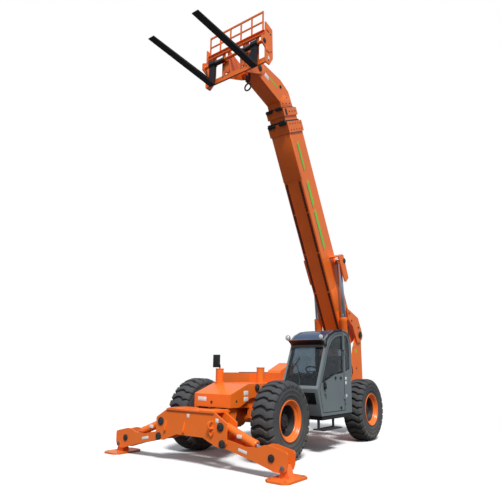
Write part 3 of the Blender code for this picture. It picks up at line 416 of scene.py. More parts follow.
# ---------------------------------------------------------------- tyres, rims, hubs
LUGS = 27
BAR = [(-0.2225, 0.560), (-0.2235, 0.604), (-0.190, 0.652), (-0.130, 0.6735), (-0.075, 0.6735), (0.0, 0.6735),
       (0.075, 0.6735), (0.130, 0.6735), (0.190, 0.652), (0.2235, 0.604), (0.2225, 0.560)]
WAVE = [0.0, 0.0, -0.2, -1.0, 0.3, 1.0, 0.3, -1.0, -0.2, 0.0, 0.0]
CARCASS = [(0.630, 0.125), (0.618, 0.183), (0.578, 0.214), (0.560, 0.2165), (0.520, 0.2165), (0.512, 0.2195),
           (0.498, 0.2195), (0.490, 0.2165), (0.440, 0.210), (0.432, 0.2125), (0.418, 0.2105), (0.410, 0.205),
           (0.375, 0.194), (0.366, 0.197), (0.356, 0.193), (0.340, 0.180), (0.3375, 0.160)]
for axle, ax in (("front", WHEELBASE / 2), ("rear", -WHEELBASE / 2)):
    for side, sign in SIDES:
        body = f"{axle}_{side}_wheel"
        centre = Vector((ax, sign * TRACK_HALF, TYRE_R))
        tyre = Build()
        tyre.turned(CARCASS + [(r, -h) for r, h in reversed(CARCASS)], centre, (0, 1, 0), 96)
        for i in range(LUGS):
            base = 2 * math.pi * (i + (0.5 if sign < 0 else 0.0)) / LUGS
            loops = []
            for (across, top), wave in zip(BAR, WAVE):
                swing = base + wave * 0.045
                inside = top - 0.045 if abs(across) < 0.2 else top - 0.02
                half_top = 0.046 if abs(across) < 0.15 else 0.052
                half_low = half_top + 0.010
                in_y = across if abs(across) < 0.21 else across * 0.94
                loop = []
                for half, radius, y in ((-half_low, inside, in_y), (-half_top, top, across),
                                        (half_top, top, across), (half_low, inside, in_y)):
                    a = swing + half / top
                    loop.append(tyre.mesh.verts.new(MACHINE @ (centre + Vector(
                        (radius * math.cos(a), y, radius * math.sin(a))))))
                loops.append(loop)
            faces = [tyre.mesh.faces.new(loops[0]), tyre.mesh.faces.new(list(reversed(loops[-1])))]
            for here, there in zip(loops, loops[1:]):
                for k in range(4):
                    n = (k + 1) % 4
                    faces.append(tyre.mesh.faces.new((here[k], here[n], there[n], there[k])))
            bmesh.ops.recalc_face_normals(tyre.mesh, faces=faces)
        tyre.done(f"{axle}_{side}_tyre_treaded", body, RUBBER, 0.005, (f"{axle}_{side}_tyre",))

        out = Vector((0, sign, 0))

        def rim_spot(radius, count, step, off=0.0):
            """Place number step of count round the wheel, off outwards from its middle."""
            turn = 2 * math.pi * step / count
            return centre + Vector((radius * math.cos(turn), 0, radius * math.sin(turn))) + out * off

        rim = Build()
        rim.turned([(0.352, 0.1868), (0.352, 0.204), (0.336, 0.2045), (0.326, 0.198), (0.320, 0.184),
                    (0.306, 0.180), (0.300, 0.170), (0.294, 0.150), (0.268, 0.140), (0.260, 0.128),
                    (0.258, 0.060), (0.268, 0.050), (0.3347, 0.1723), (0.3397, 0.1803)], centre, out, 64)
        rim.turned([(0.3347, 0.168), (0.268, 0.048), (0.262, 0.000), (0.262, -0.040), (0.300, -0.060),
                    (0.312, -0.170), (0.330, -0.204), (0.352, -0.204), (0.352, -0.1868), (0.3397, -0.1803),
                    (0.3347, -0.1723)], centre, out, 64)
        for i in range(24):
            rim.ball(rim_spot(0.311, 24, i, 0.1815), 0.006, u=8, v=5)
        rim.done(f"{axle}_{side}_rim_stepped", body, ORANGE, 0.002, (f"{axle}_{side}_rim",))
        hub = Build()
        hub.turned([(0.2575, 0.120), (0.2575, -0.052), (0.150, -0.058), (0.110, -0.100), (0.0005, -0.100),
                    (0.0005, 0.075), (0.060, 0.075), (0.070, 0.068), (0.105, 0.066), (0.116, 0.050),
                    (0.120, 0.012), (0.150, 0.002), (0.180, -0.014), (0.238, -0.020), (0.248, 0.000),
                    (0.252, 0.120)], centre, out, 64)
        for i in range(12):
            ring = rim_spot(0.205, 12, i)
            hub.cyl(ring - out * 0.022, ring + out * 0.010, 0.017, sides=6)
            hub.cyl(ring + out * 0.008, ring + out * 0.028, 0.009, sides=10)
        for i in range(8):
            hub.bolt(rim_spot(0.090, 8, i + 0.5, 0.066), out, 0.009, 0.010)
        hub.bolt(centre + out * 0.074, out, 0.022, 0.020)
        hub.cyl(rim_spot(0.236, 1, 0), rim_spot(0.236, 1, 0, 0.07), 0.006)
        hub.done(f"{axle}_{side}_hub", body, DARK, 0.002)


# ---------------------------------------------------------------- lift cylinders
LIFT_BASE = (-2.30, 1.20)
EYE = (2.10, -0.05)
eye_x = PIVOT[0] + EYE[0] * math.cos(BOOM_ANGLE) - EYE[1] * math.sin(BOOM_ANGLE)
eye_z = PIVOT[1] + EYE[0] * math.sin(BOOM_ANGLE) + EYE[1] * math.cos(BOOM_ANGLE)
lift_way = Vector((eye_x - LIFT_BASE[0], 0, eye_z - LIFT_BASE[1]))
lift_len = lift_way.length
lift_way.normalize()
for side, sign in SIDES:
    foot = Vector((LIFT_BASE[0], sign * LIFT_Y, LIFT_BASE[1]))
    across = Vector((0, 1, 0))
    barrel = Build()
    barrel.turned([(0.0635, 0.14), (0.093, 0.13), (0.096, 0.15), (0.096, 1.55), (0.100, 1.56), (0.100, 1.645),
                   (0.096, 1.66), (0.066, 1.66), (0.0635, 1.64)], foot, lift_way, 40)
    barrel.cyl(foot - across * 0.060, foot - across * 0.001, 0.085)
    barrel.cyl(foot + across * 0.001, foot + across * 0.060, 0.085)
    barrel.cyl(foot + lift_way * 0.05, foot + lift_way * 0.16, 0.060)
    for k in range(8):
        a = 2 * math.pi * k / 8
        spot = foot + lift_way * 1.655 + (across * math.cos(a) + lift_way.cross(across) * math.sin(a)) * 0.084
        barrel.bolt(spot, lift_way, 0.008, 0.008)
    port = foot + lift_way * 0.25 + Vector((0, sign * 0.092, 0))
    barrel.box(port.x - 0.03, port.x + 0.03, port.y - 0.02, port.y + 0.02, port.z - 0.03, port.z + 0.03)
    barrel.done(f"lift_barrel_{side}_round", f"lift_barrel_{side}", ORANGE, 0.002,
                (f"lift_barrel_{side}",))
    pipe = Build()
    off = Vector((0, sign * 0.104, 0))
    pipe.tube([port + off * 0.25, port + off * 0.3 + lift_way * 0.15, foot + off + lift_way * 0.55,
               foot + off + lift_way * 1.45, foot + off * 0.95 + lift_way * 1.60], 0.011)
    for k in (0.6, 1.0, 1.4):
        spot = foot + off + lift_way * k
        pipe.box(spot.x - 0.03, spot.x + 0.03, spot.y - sign * 0.012 - 0.014, spot.y - sign * 0.012 + 0.014,
                 spot.z - 0.012, spot.z + 0.012)
    pipe.done(f"lift_pipe_{side}", f"lift_barrel_{side}", DARK, 0.0)
    piston = Build()
    piston.cyl(foot + lift_way * (lift_len - 1.67), foot + lift_way * (lift_len - 0.05), 0.062, sides=40)
    eye = foot + lift_way * lift_len
    piston.cyl(eye - across * 0.062, eye + across * 0.062, 0.085, sides=40)
    piston.done(f"lift_rod_{side}_round", f"lift_rod_{side}", CHROME, 0.003, (f"lift_rod_{side}",))

# ---------------------------------------------------------------- outriggers
LEG_HINGE = (0.72, 0.39)
LEG_TOP = (0.68, 0.64)
LEG_ROD = (1.63, 0.283)
ROD_EYE_HALF = 0.0917     # half length of the rod's eye
push = Vector((0, LEG_ROD[0] - LEG_TOP[0], LEG_ROD[1] - LEG_TOP[1]))
push_len = push.length
for side, sign in SIDES:
    way = Vector((0, push.y * sign, push.z)).normalized()
    top = Vector((LEG_X, sign * LEG_TOP[0], LEG_TOP[1]))
    along = Vector((1, 0, 0))
    barrel = Build()
    barrel.turned([(0.038, 0.11), (0.060, 0.07), (0.068, 0.09), (0.068, 0.58), (0.072, 0.59), (0.072, 0.635),
                   (0.068, 0.65), (0.040, 0.65), (0.038, 0.64)], top, way, 36)
    barrel.cyl(top - along * 0.06, top - along * 0.001, 0.05)
    barrel.cyl(top + along * 0.001, top + along * 0.06, 0.05)
    barrel.cyl(top + way * 0.03, top + way * 0.09, 0.036)
    barrel.done(f"outrigger_barrel_{side}_round", f"outrigger_barrel_{side}", ORANGE, 0.002,
                (f"outrigger_barrel_{side}",))
    rod = Build()
    end = top + way * push_len
    rod.cyl(top + way * (push_len - 0.60), end - way * 0.03, 0.036, sides=32)
    rod.cyl(end - along * ROD_EYE_HALF, end + along * ROD_EYE_HALF, 0.045, sides=32)
    rod.done(f"outrigger_rod_{side}_round", f"outrigger_rod_{side}", CHROME, 0.002,
             (f"outrigger_rod_{side}",))
    label = Build()
    spot = top + way * 0.34
    label.box(spot.x + 0.060, spot.x + 0.0725, spot.y - 0.045, spot.y + 0.045, spot.z - 0.026, spot.z + 0.026)
    label.done(f"outrigger_barrel_plate_{side}", f"outrigger_barrel_{side}", PLATE, 0.001)

    caps = Build()
    for y, z, r in ((LEG_HINGE[0], LEG_HINGE[1], 0.062), (LEG_TOP[0], LEG_TOP[1], 0.066)):
        for x, out in ((LEG_X + 0.1403, 1), (LEG_X - 0.1403, -1)):
            caps.cyl((x, sign * y, z), (x + out * 0.016, sign * y, z), r, sides=32)
            caps.box(min(x, x + out * 0.024), max(x, x + out * 0.024), sign * y - 0.020, sign * y + 0.020,
                     z - 0.045, z + 0.045)
            for dz in (-0.030, 0.030):
                caps.bolt((x + out * 0.022, sign * y, z + dz), (out, 0, 0), 0.008, 0.008)
    caps.done(f"outrigger_beam_pins_{side}", "chassis", PINCAP, 0.002)
    caps = Build()
    for x, out in ((LEG_X + 0.1103, 1), (LEG_X - 0.1103, -1)):
        y, z = sign * LEG_ROD[0], LEG_ROD[1]
        caps.cyl((x, y, z), (x + out * 0.014, y, z), 0.055, sides=32)
        caps.bolt((x + out * 0.012, y, z + 0.022), (out, 0, 0), 0.007, 0.007)
        caps.bolt((x + out * 0.012, y, z - 0.022), (out, 0, 0), 0.007, 0.007)
    caps.done(f"outrigger_leg_pin_{side}", f"outrigger_leg_{side}", PINCAP, 0.002)
    plates = Build()
    slope = math.atan2(-0.225, 1.10) * sign
    turn = Matrix.Rotation(slope, 4, "X")
    plates.box(LEG_X + 0.1103, LEG_X + 0.1123, sign * 1.10 - 0.085, sign * 1.10 + 0.085, 0.300, 0.345, turn)
    plates.done(f"outrigger_leg_plate_{side}", f"outrigger_leg_{side}", PLATE, 0.0005)
    pad = Build()
    for dx in (-0.24, 0.24):
        for dy in (-0.13, 0.13):
            pad.bolt((LEG_X + dx, sign * FOOT[0] + dy, 0.0303), (0, 0, 1), 0.012, 0.010)
    for out in (1, -1):
        y, z = sign * FOOT[0], FOOT[1]
        pad.cyl((LEG_X + out * 0.1103, y, z), (LEG_X + out * 0.128, y, z), 0.036)
    pad.done(f"outrigger_foot_bolts_{side}", f"outrigger_foot_{side}", STEEL, 0.001)

# outrigger beam: plates, tie-down rings, gussets
BEAM_X = LEG_X + 0.1403
beam = Build()
for y, z in ((-0.038, 0.765), (0.60, 0.730)):
    beam.box(BEAM_X, BEAM_X + 0.002, y - 0.030, y + 0.030, z - 0.030, z + 0.030)
beam.done("beam_blank_plates", "chassis", PLATE, 0.0005)
beam = Build()
beam.turned([(0.044, -0.011), (0.066, -0.011), (0.066, 0.011), (0.044, 0.011)], (BEAM_X + 0.030, 0.50, 0.660),
            (0.35, 1, 0), 28)
beam.box(BEAM_X, BEAM_X + 0.015, 0.46, 0.54, 0.590, 0.625)
for y, tilt in ((0.47, 0.35), (0.53, -0.35)):
    beam.box(BEAM_X, BEAM_X + 0.028, y - 0.009, y + 0.009, 0.485, 0.575, Matrix.Rotation(tilt, 4, "X"))
rib = [(BEAM_X, 0.47), (BEAM_X + 0.040, 0.50), (BEAM_X + 0.040, 0.53), (BEAM_X, 0.66)]
for y in (-0.115, -0.555):
    beam.prism(rib, y - 0.010, y + 0.010, "xz")
for y in (-0.36, 0.36):
    beam.box(2.62, BEAM_X + 0.012, y - 0.15, y + 0.15, 0.8603, 0.872)
beam.done("beam_lugs", "chassis", ORANGE, 0.002)

# ---------------------------------------------------------------- nose, posts, mirror
nose = Build()
nose.box(NOSE_FRONT, 2.4723, -0.335, -0.135, 0.975, 1.045)
for sign in (1, -1):
    y = sign * NOSE_SIDE
    nose.box(1.965, 2.095, min(y, y + sign * 0.002), max(y, y + sign * 0.002), 1.075, 1.155)
    nose.box(1.965, 2.095, min(y, y + sign * 0.002), max(y, y + sign * 0.002), 0.975, 1.050)
nose.done("nose_blank_plates", "chassis", PLATE, 0.0005)
nose = Build()
for sign in (1, -1):
    y = sign * NOSE_SIDE
    nose.cyl((1.70, y, 1.205), (1.70, y + sign * 0.022, 1.205), 0.062, sides=32)
    nose.bolt((1.70, y + sign * 0.022, 1.205), (0, sign, 0), 0.018, 0.014)
    nose.cyl((2.30, y, 0.985), (2.30, y + sign * 0.003, 0.985), 0.022, sides=24)
nose.cyl((NOSE_FRONT, -0.01, 0.962), (2.4733, -0.01, 0.962), 0.026, sides=24)
nose.box(2.4405, 2.4690, -0.30, 0.30, 0.62, 0.84)
nose.done("nose_pins", "chassis", PINCAP, 0.001)
nose = Build()
for x in (1.08, 1.30):
    for y in (-0.20, 0.20):
        nose.bolt((x, y, NOSE_TOP), (0, 0, 1), 0.012, 0.010)
nose.prism([(1.02, NOSE_TOP), (1.90, NOSE_TOP), (1.90, 1.281), (1.02, 1.281)], -0.26, 0.26, "xz")
for x, y, tall in POSTS:
    nose.cyl((x, y, tall - 0.005), (x, y, tall + 0.012), 0.079, sides=36)
    nose.cyl((x, y, NOSE_TOP), (x, y, 1.290), 0.098, sides=36)
    for k in range(6):
        a = math.pi * k / 3
        nose.bolt((x + 0.088 * math.cos(a), y + 0.088 * math.sin(a), 1.290), (0, 0, 1), 0.006, 0.006)
nose.box(0.99, 1.90, -0.012, 0.012, 1.2803, 1.290)
nose.done("nose_trim", "chassis", ORANGE, 0.002)
arm = Build()
arm.tube([(1.88, -0.34, 1.535), (1.88, -0.34, 1.60), (1.90, -0.36, 1.64), (1.93, -0.37, 1.64)], 0.014)
arm.box(1.91, 1.96, -0.45, -0.31, 1.56, 1.80)
arm.done("post_mirror", "chassis", BLACK, 0.012)
arm = Build()
arm.box(1.9055, 1.9095, -0.44, -0.32, 1.57, 1.79)
arm.done("post_mirror_glass", "chassis", MIRROR, 0.002)

# ---------------------------------------------------------------- cab
visor = Build()
visor.prism([(0.425, 2.030), (0.480, 2.045), (0.570, 2.110), (0.560, 2.140), (0.470, 2.120)], CAB_IN + 0.03,
            CAB_OUT - 0.05, "xz")
visor.done("cab_visor", "chassis", BLACK, 0.006)
bar = Build()
bar.tube([(0.565, CAB_IN + 0.02, 2.125), (0.575, 0.60, 2.130), (0.575, 1.00, 2.130),
          (0.565, CAB_OUT - 0.04, 2.125)], 0.010)
for y in (CAB_IN + 0.05, CAB_OUT - 0.06):
    bar.box(0.535, 0.570, y - 0.012, y + 0.012, 2.120, 2.165)
bar.done("visor_rail", "chassis", STEEL, 0.002)
lamps = Build()
lens = Build()
for y in (CAB_IN + 0.02, CAB_OUT - 0.03):
    lamps.turned([(0.0005, -0.045), (0.030, -0.040), (0.052, -0.010), (0.056, 0.018), (0.050, 0.020),
                  (0.0005, 0.012)], (0.560, y, 2.180), (1, 0, -0.15), 28)
    lens.turned([(0.0005, 0.013), (0.049, 0.0205), (0.044, 0.027), (0.022, 0.033), (0.0005, 0.035)],
                (0.560, y, 2.180), (1, 0, -0.15), 28)
lamps.done("work_lamp_bodies", "chassis", BLACK, 0.0)
lens.done("work_lamp_lenses", "chassis", LENS, 0.0)

ARCH = [(0.66, 1.40), (0.60, 1.62), (0.50, 1.85), (0.445, 2.02), (0.455, 2.12), (0.30, 2.235), (0.05, 2.325),
        (-0.25, 2.365), (-0.50, 2.335), (-0.635, 2.235), (-0.695, 2.05), (-0.690, 1.75), (-0.680, 1.45)]
seal = Build()
seal.tube([(x, CAB_OUT + 0.001, z) for x, z in ARCH[3:]], 0.014)
seal.done("cab_edge_trim", "chassis", GREY, 0.0)
ribs = Build()
for i in range(26):
    t = i / 25
    k = 3 + t * 4.0
    a = ARCH[int(k)]
    b = ARCH[min(int(k) + 1, len(ARCH) - 1)]
    f = k - int(k)
    x = a[0] + (b[0] - a[0]) * f
    z = a[1] + (b[1] - a[1]) * f
    ribs.cyl((x - 0.004, CAB_OUT + 0.010, z), (x + 0.012, CAB_OUT + 0.010, z + 0.004), 0.022, sides=12)
ribs.done("cab_ribbed_trim", "chassis", BLACK, 0.0)

DOOR_PANE = [(-0.29, 1.50), (0.10, 1.46), (0.28, 1.40), (0.62, 1.30), (0.31, 1.96), (0.16, 2.12),
             (0.00, 2.20), (-0.18, 2.24), (-0.29, 2.25)]


def edge_line(points, y):
    """Closed outline in x and z at y, each side cut in four."""
    line = []
    for (x, z), (nx, nz) in zip(points, points[1:] + points[:1]):
        line += [Vector((x + (nx - x) * k / 4, y, z + (nz - z) * k / 4)) for k in range(4)]
    return line


rubber = Build()
rubber.sweep(edge_line(DOOR_PANE, CAB_OUT - 0.001), 0.007, 8, True)
rubber.done("door_glass_seal", "cab_door", BLACK, 0.0)
DOOR = [(-0.34, 0.74), (0.60, 0.74), (0.72, 1.18), (0.36, 1.98), (0.20, 2.17), (0.02, 2.25), (-0.18, 2.29),
        (-0.34, 2.30)]
seam = Build()
seam.sweep(edge_line(DOOR, CAB_OUT - 0.002), 0.006, 6, True)
seam.done("door_seam", "cab_door", BLACK, 0.0)
handle = Build()
handle.box(0.47, 0.57, CAB_OUT + 0.002, CAB_OUT + 0.012, 1.17, 1.31)
handle.tube([(0.535, CAB_OUT + 0.010, 1.29), (0.545, CAB_OUT + 0.042, 1.27), (0.545, CAB_OUT + 0.045, 1.21),
             (0.515, CAB_OUT + 0.030, 1.17)], 0.012)
for x, z in ((-0.176, 1.385), (0.062, 1.389), (-0.157, 0.800)):
    handle.cyl((x, CAB_OUT + 0.0005, z), (x, CAB_OUT + 0.018, z), 0.026, sides=20)
handle.done("door_furniture", "cab_door", BLACK, 0.002)
labels = Build()
for z in (1.37, 1.28, 1.02):
    labels.box(-0.460, -0.385, CAB_OUT + GAP, CAB_OUT + 0.002, z - 0.030, z + 0.030)
labels.done("cab_blank_plates", "chassis", PLATE, 0.0005)
lower = Build()
lower.prism([(0.615, 0.69), (0.665, 0.69), (0.815, 1.18), (0.790, 1.24), (0.765, 1.19)], CAB_IN + 0.02,
            CAB_OUT - 0.002, "xz")
for i in range(5):
    x = -0.663 - 0.0035 * i
    lower.box(x - 0.008, x, CAB_IN + 0.12, CAB_OUT - 0.12, 0.90 + i * 0.08, 0.93 + i * 0.08)
lower.done("cab_lower_trim", "chassis", GREY, 0.004)
gloss = Build()
gloss.prism([(0.7275, 0.90), (0.8040, 1.170), (0.8100, 1.168), (0.7335, 0.898)], 0.76, CAB_OUT - 0.07, "xz")
gloss.done("cab_front_panel", "chassis", GLOSS, 0.001)
tray = Build()
tray.box(-0.66, 0.60, 0.40, 1.18, 0.600, 0.6795)
tray.done("cab_tray", "chassis", DARK, 0.004)
wiper = Build()
wiper.tube([(0.775, 0.78, 1.245), (0.690, 0.72, 1.440), (0.590, 0.60, 1.665)], 0.007)
wiper.tube([(0.640, 0.52, 1.560), (0.590, 0.60, 1.668), (0.545, 0.66, 1.775)], 0.009)
wiper.cyl((0.800, 0.78, 1.215), (0.765, 0.78, 1.245), 0.018)
wiper.done("windscreen_wiper", "chassis", BLACK, 0.0)

# inside the cab
cushion_low, cushion_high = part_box("seat_cushion")


def padding(name, low, high, axis, channels):
    """Crowned pad with sewn channels; axis is the thickness direction, outer face at its high end."""
    steps = 24
    mesh = bmesh.new()
    a, b = [k for k in range(3) if k != axis]
    rows = []
    for layer in (0, 1):
        grid = []
        for i in range(steps + 1):
            row = []
            for k in range(steps + 1):
                s = i / steps * 2 - 1
                t = k / steps * 2 - 1
                pull = 0.035 * (abs(s * t) ** 1.5)
                edge = (1 - abs(s) ** 6) * (1 - abs(t) ** 6)
                edge = max(edge, 0.0) ** 0.35
                crown = 0.62 + 0.38 * (1 - s * s) * (1 - t * t)
                groove = 0.0
                for c in channels:
                    groove += 0.10 * math.exp(-((s - c) / 0.045) ** 2)
                depth = edge * (crown - groove) if layer else 0.03 * (1 - edge)
                point = [0.0, 0.0, 0.0]
                half_a = (high[a] - low[a]) / 2
                half_b = (high[b] - low[b]) / 2
                inward = 1.0 - 0.03 * (1 - abs(t) ** 2) * abs(s) - pull
                point[a] = (low[a] + high[a]) / 2 + s * half_a * inward
                narrower = 1.0 - 0.03 * (1 - abs(s) ** 2) * abs(t) - pull
                point[b] = (low[b] + high[b]) / 2 + t * half_b * narrower
                thick = high[axis] - low[axis]
                point[axis] = low[axis] + thick * (0.06 + 0.94 * min(depth, 1.0))
                row.append(mesh.verts.new(point))
            grid.append(row)
        rows.append(grid)
    for layer in (0, 1):
        for i in range(steps):
            for k in range(steps):
                g = rows[layer]
                mesh.faces.new((g[i][k], g[i + 1][k], g[i + 1][k + 1], g[i][k + 1]))
    rim = [(i, 0) for i in range(steps)] + [(steps, k) for k in range(steps)]
    rim += [(steps - i, steps) for i in range(steps)] + [(0, steps - k) for k in range(steps)]
    for (i, k), (n, m) in zip(rim, rim[1:] + rim[:1]):
        mesh.faces.new((rows[0][i][k], rows[0][n][m], rows[1][n][m], rows[1][i][k]))
    bmesh.ops.recalc_face_normals(mesh, faces=mesh.faces)
    data = bpy.data.meshes.new(name)
    mesh.to_mesh(data)
    mesh.free()
    obj = bpy.data.objects.new(name, data)
    bpy.context.scene.collection.objects.link(obj)
    data.materials.append(FABRIC)
    for face in data.polygons:
        face.use_smooth = True
    smooth = obj.modifiers.new("soft", "SUBSURF")
    smooth.levels = 1
    smooth.render_levels = 1
    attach(obj, "chassis")
    return obj


seat = padding("seat_cushion_padded", cushion_low, cushion_high, 2, (-0.4, 0.0, 0.4))
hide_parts("seat_cushion")
back_low = Vector((SHIFT - 0.540, 0.545, 1.14))
back_high = Vector((SHIFT - 0.455, 0.995, 1.80))
back = padding("seat_back_padded", back_low, back_high, 0, (-0.45, 0.45))
dash = Build()
dash.prism([(0.60, 1.42), (0.42, 1.47), (0.36, 1.45), (0.36, 1.41), (0.58, 1.40)], CAB_IN + 0.06, 1.12, "xz")
for y, z in ((0.55, 1.452), (0.60, 1.452), (0.90, 1.452)):
    dash.cyl((0.40, y, z), (0.385, y, z + 0.03), 0.018, sides=20)
for y in (0.47, 1.05):
    dash.tube([(-0.10, y, 1.10), (-0.08, y, 1.22), (-0.04, y, 1.30)], 0.012)
    dash.ball((-0.035, y, 1.315), 0.026)
    dash.box(-0.30, 0.00, y - 0.035, y + 0.035, 1.06, 1.11)
for y in (0.62, 0.90):
    dash.box(0.30, 0.40, y - 0.04, y + 0.04, 0.76, 0.775)
dash.done("cab_controls", "chassis", BLACK, 0.004)
step = Build()
for i in range(11):
    x = -0.07 + i * 0.07
    step.box(x - 0.008, x + 0.008, 1.01, 1.23, 0.4353, 0.441)
for x in (-0.02, 0.58):
    for dx in (-0.018, 0.018):
        step.bolt((x + dx, 1.0903, 0.640), (0, 1, 0), 0.010, 0.010)
step.done("step_tread", "chassis", STEEL, 0.001)

# ---------------------------------------------------------------- engine side
HOOD_Y = -1.2003
grille = Build()
for i in range(7):
    z = 0.86 + i * 0.055
    grille.box(-0.62, 0.10, HOOD_Y - 0.012, HOOD_Y, z - 0.010, z + 0.010, Matrix.Rotation(-0.5, 4, "X"))
grille.box(-0.66, -0.63, HOOD_Y - 0.014, HOOD_Y, 0.82, 1.24)
grille.box(0.11, 0.14, HOOD_Y - 0.014, HOOD_Y, 0.82, 1.24)
for i in range(8):
    y = -1.10 + i * 0.085
    grille.box(-0.872, POD_FRONT, y - 0.010, y + 0.010, 0.80, 1.32)
grille.box(-0.874, POD_FRONT, -1.16, -0.44, 1.325, 1.345)
grille.box(-0.874, POD_FRONT, -1.16, -0.44, 0.785, 0.805)
for x in (0.35, 0.70):
    grille.box(x - 0.05, x + 0.05, HOOD_Y - 0.010, HOOD_Y, 1.30, 1.36)
grille.done("engine_grilles", "chassis", BLACK, 0.002)
hood = Build()
for i in range(9):
    x = -0.22 + i * 0.085
    hood.box(x - 0.012, x + 0.012, -0.98, -0.66, 1.4603, 1.474)
for x in (-0.60, 0.60):
    hood.box(x - 0.05, x + 0.05, HOOD_Y - 0.014, HOOD_Y, 1.390, 1.415)
for i in range(5):
    z = 1.50 + i * 0.034
    hood.box(-0.872, POD_FRONT, -0.68, -0.42, z - 0.010, z + 0.010)
hood.done("hood_louvres", "engine_hood", BLACK, 0.002)

# ---------------------------------------------------------------- tower, rear
tower = Build()
for sign in (1, -1):
    for x, z in ((-2.62, 2.12), (-2.80, 1.60), (-3.00, 1.10), (-2.60, 0.95)):
        tower.bolt((x, sign * RAIL_SIDE, z), (0, sign, 0), 0.016, 0.014)
    tower.cyl((PIVOT[0], sign * 0.4103, PIVOT[1]), (PIVOT[0], sign * 0.428, PIVOT[1]), 0.085, sides=36)
    for k in range(4):
        a = math.pi / 4 + math.pi * k / 2
        spot = (PIVOT[0] + 0.058 * math.cos(a), sign * 0.428, PIVOT[1] + 0.058 * math.sin(a))
        tower.bolt(spot, (0, sign, 0), 0.009, 0.008)
tower.done("tower_pins", "chassis", PINCAP, 0.002)
dot = Build()
for sign in (1, -1):
    y = sign * RAIL_SIDE
    dot.cyl((-2.80, y, 2.04), (-2.80, y + sign * 0.002, 2.04), 0.055, sides=32)
dot.done("tower_green_discs", "chassis", STRIPE, 0.0)
rear = Build()
for y in (-0.50, 0.50):
    rear.box(-3.251, -3.2353, y - 0.075, y + 0.075, 1.02, 1.12)
rear.box(-3.245, -3.2353, -0.16, 0.16, 0.86, 0.96)
rear.done("tail_lamp_housings", "chassis", BLACK, 0.004)
for name, look, y0, y1 in (("tail_lamps", RED, -0.068, 0.005), ("turn_lamps", AMBER, 0.012, 0.068)):
    rear = Build()
    for y in (-0.50, 0.50):
        rear.box(-3.259, -3.2513, y + y0, y + y1, 1.03, 1.11)
    rear.done(name, "chassis", look, 0.003)
rear = Build()
for y in (-0.34, 0.34):
    rear.turned([(0.020, -0.010), (0.040, -0.010), (0.040, 0.010), (0.020, 0.010)], (-3.2403, y, 0.90),
                (0, 1, 0), 24)
rear.done("rear_towing_eyes", "chassis", DARK, 0.002)

# ---------------------------------------------------------------- boom, outer section
outer = Build(BOOM)
under = OUTER_LOW - GAP
outer.box(4.45, 5.585, -OUTER_HALF - 0.004, OUTER_HALF + 0.004, under - 0.012, under)
for sign in (1, -1):
    y = sign * (OUTER_HALF + GAP)
    low, high = sorted((y, y + sign * 0.006))
    outer.box(4.45, 5.585, low, high, under - 0.006, OUTER_LOW + 0.06)
    outer.box(0.95, 1.50, low, high, OUTER_LOW + 0.02, OUTER_TOP - 0.03)
outer.done("boom_wrap_plates", "boom_outer", ORANGE, 0.002)
track = Build(BOOM)
for sign in (1, -1):
    y = sign * 0.190
    for i in range(104):
        u = 0.42 + i * 0.0385
        track.box(u - 0.013, u + 0.013, y - 0.034, y + 0.034, under - 0.014, under)
track.done("boom_hose_tracks", "boom_outer", TRACK, 0.0)
track = Build(BOOM)
for sign in (1, -1):
    for y in (sign * 0.152, sign * 0.228):
        track.box(0.40, 4.45, y - 0.003, y + 0.003, under - 0.016, under)
    for u in (1.50, 2.55, 3.60):
        track.box(u - 0.014, u + 0.014, sign * 0.190 - 0.044, sign * 0.190 + 0.044, under - 0.020, under)
track.done("boom_track_guides", "boom_outer", ORANGE, 0.0)
HOSE_W = 0.028            # hoses' middle above the boom's top
hose = Build(BOOM)
for k in range(3):
    y = -0.06 + k * 0.05
    hose.tube([(u, y, HOSE_W) for u in (0.30, 1.5, 3.0, 4.6, 5.50)], 0.013)
hose.done("boom_top_hoses", "boom_outer", HOSE, 0.0)
clamp = Build(BOOM)
for u in (0.8, 1.8, 2.8, 3.8, 4.8):
    clamp.box(u - 0.025, u + 0.025, -0.09, 0.07, OUTER_TOP + GAP, 0.046)
clamp.done("boom_hose_clamps", "boom_outer", DARK, 0.004)
stripe = Build(BOOM)
edge = Build(BOOM)
for sign in (1, -1):
    for u0, u1, w0, w1, lean in ((2.55, 3.55, -0.47, -0.36, 0.09), (3.66, 4.30, -0.47, -0.36, 0.09),
                                 (4.62, 5.30, -0.44, -0.36, 0.07)):
        stripe.side([(u0, w0), (u1, w0), (u1 + lean, w1), (u0 + lean, w1)], sign, OUTER_HALF + GAP, 0.0015)
        # black band just below each stripe: a painted shadow of the stripe
        below = w0 - 0.022
        shadow = w0 - 0.006
        edge.side([(u0 - 0.02, below), (u1, below), (u1 + lean * 0.05, shadow), (u0 - 0.01, shadow)], sign,
                  OUTER_HALF + GAP, 0.0015)
stripe.done("boom_stripes", "boom_outer", STRIPE, 0.0)
edge.done("boom_stripe_painted_shadows", "boom_outer", BLACK, 0.0)

collar = Build(BOOM)
for sign in (1, -1):
    y = sign * (OUTER_HALF + 0.0303)
    for w in (-0.60, -0.46, -0.32, -0.18, -0.06):
        for u in (5.65, 5.80):
            collar.bolt((u, y, w), (0, sign, 0), 0.012, 0.010)
    collar.cyl((2.10, sign * 0.5153, -0.05), (2.10, sign * 0.532, -0.05), 0.062, sides=32)
    collar.bolt((2.10, sign * 0.532, -0.05), (0, sign, 0), 0.016, 0.012)
    for u, w in ((0.20, 0.02), (-0.02, 0.02), (0.52, -0.26), (0.74, -0.30)):
        collar.cyl((u, sign * 0.4003, w), (u, sign * 0.414, w), 0.024, sides=24)
for y in (-0.17, -0.06, 0.06, 0.17):
    collar.bolt((5.65, y, OUTER_TOP + 0.0303), (0, 0, 1), 0.012, 0.010)
    collar.bolt((5.80, y, OUTER_TOP + 0.0303), (0, 0, 1), 0.012, 0.010)
collar.done("boom_collar_bolts", "boom_outer", PINCAP, 0.001)
MID_D = 0.036

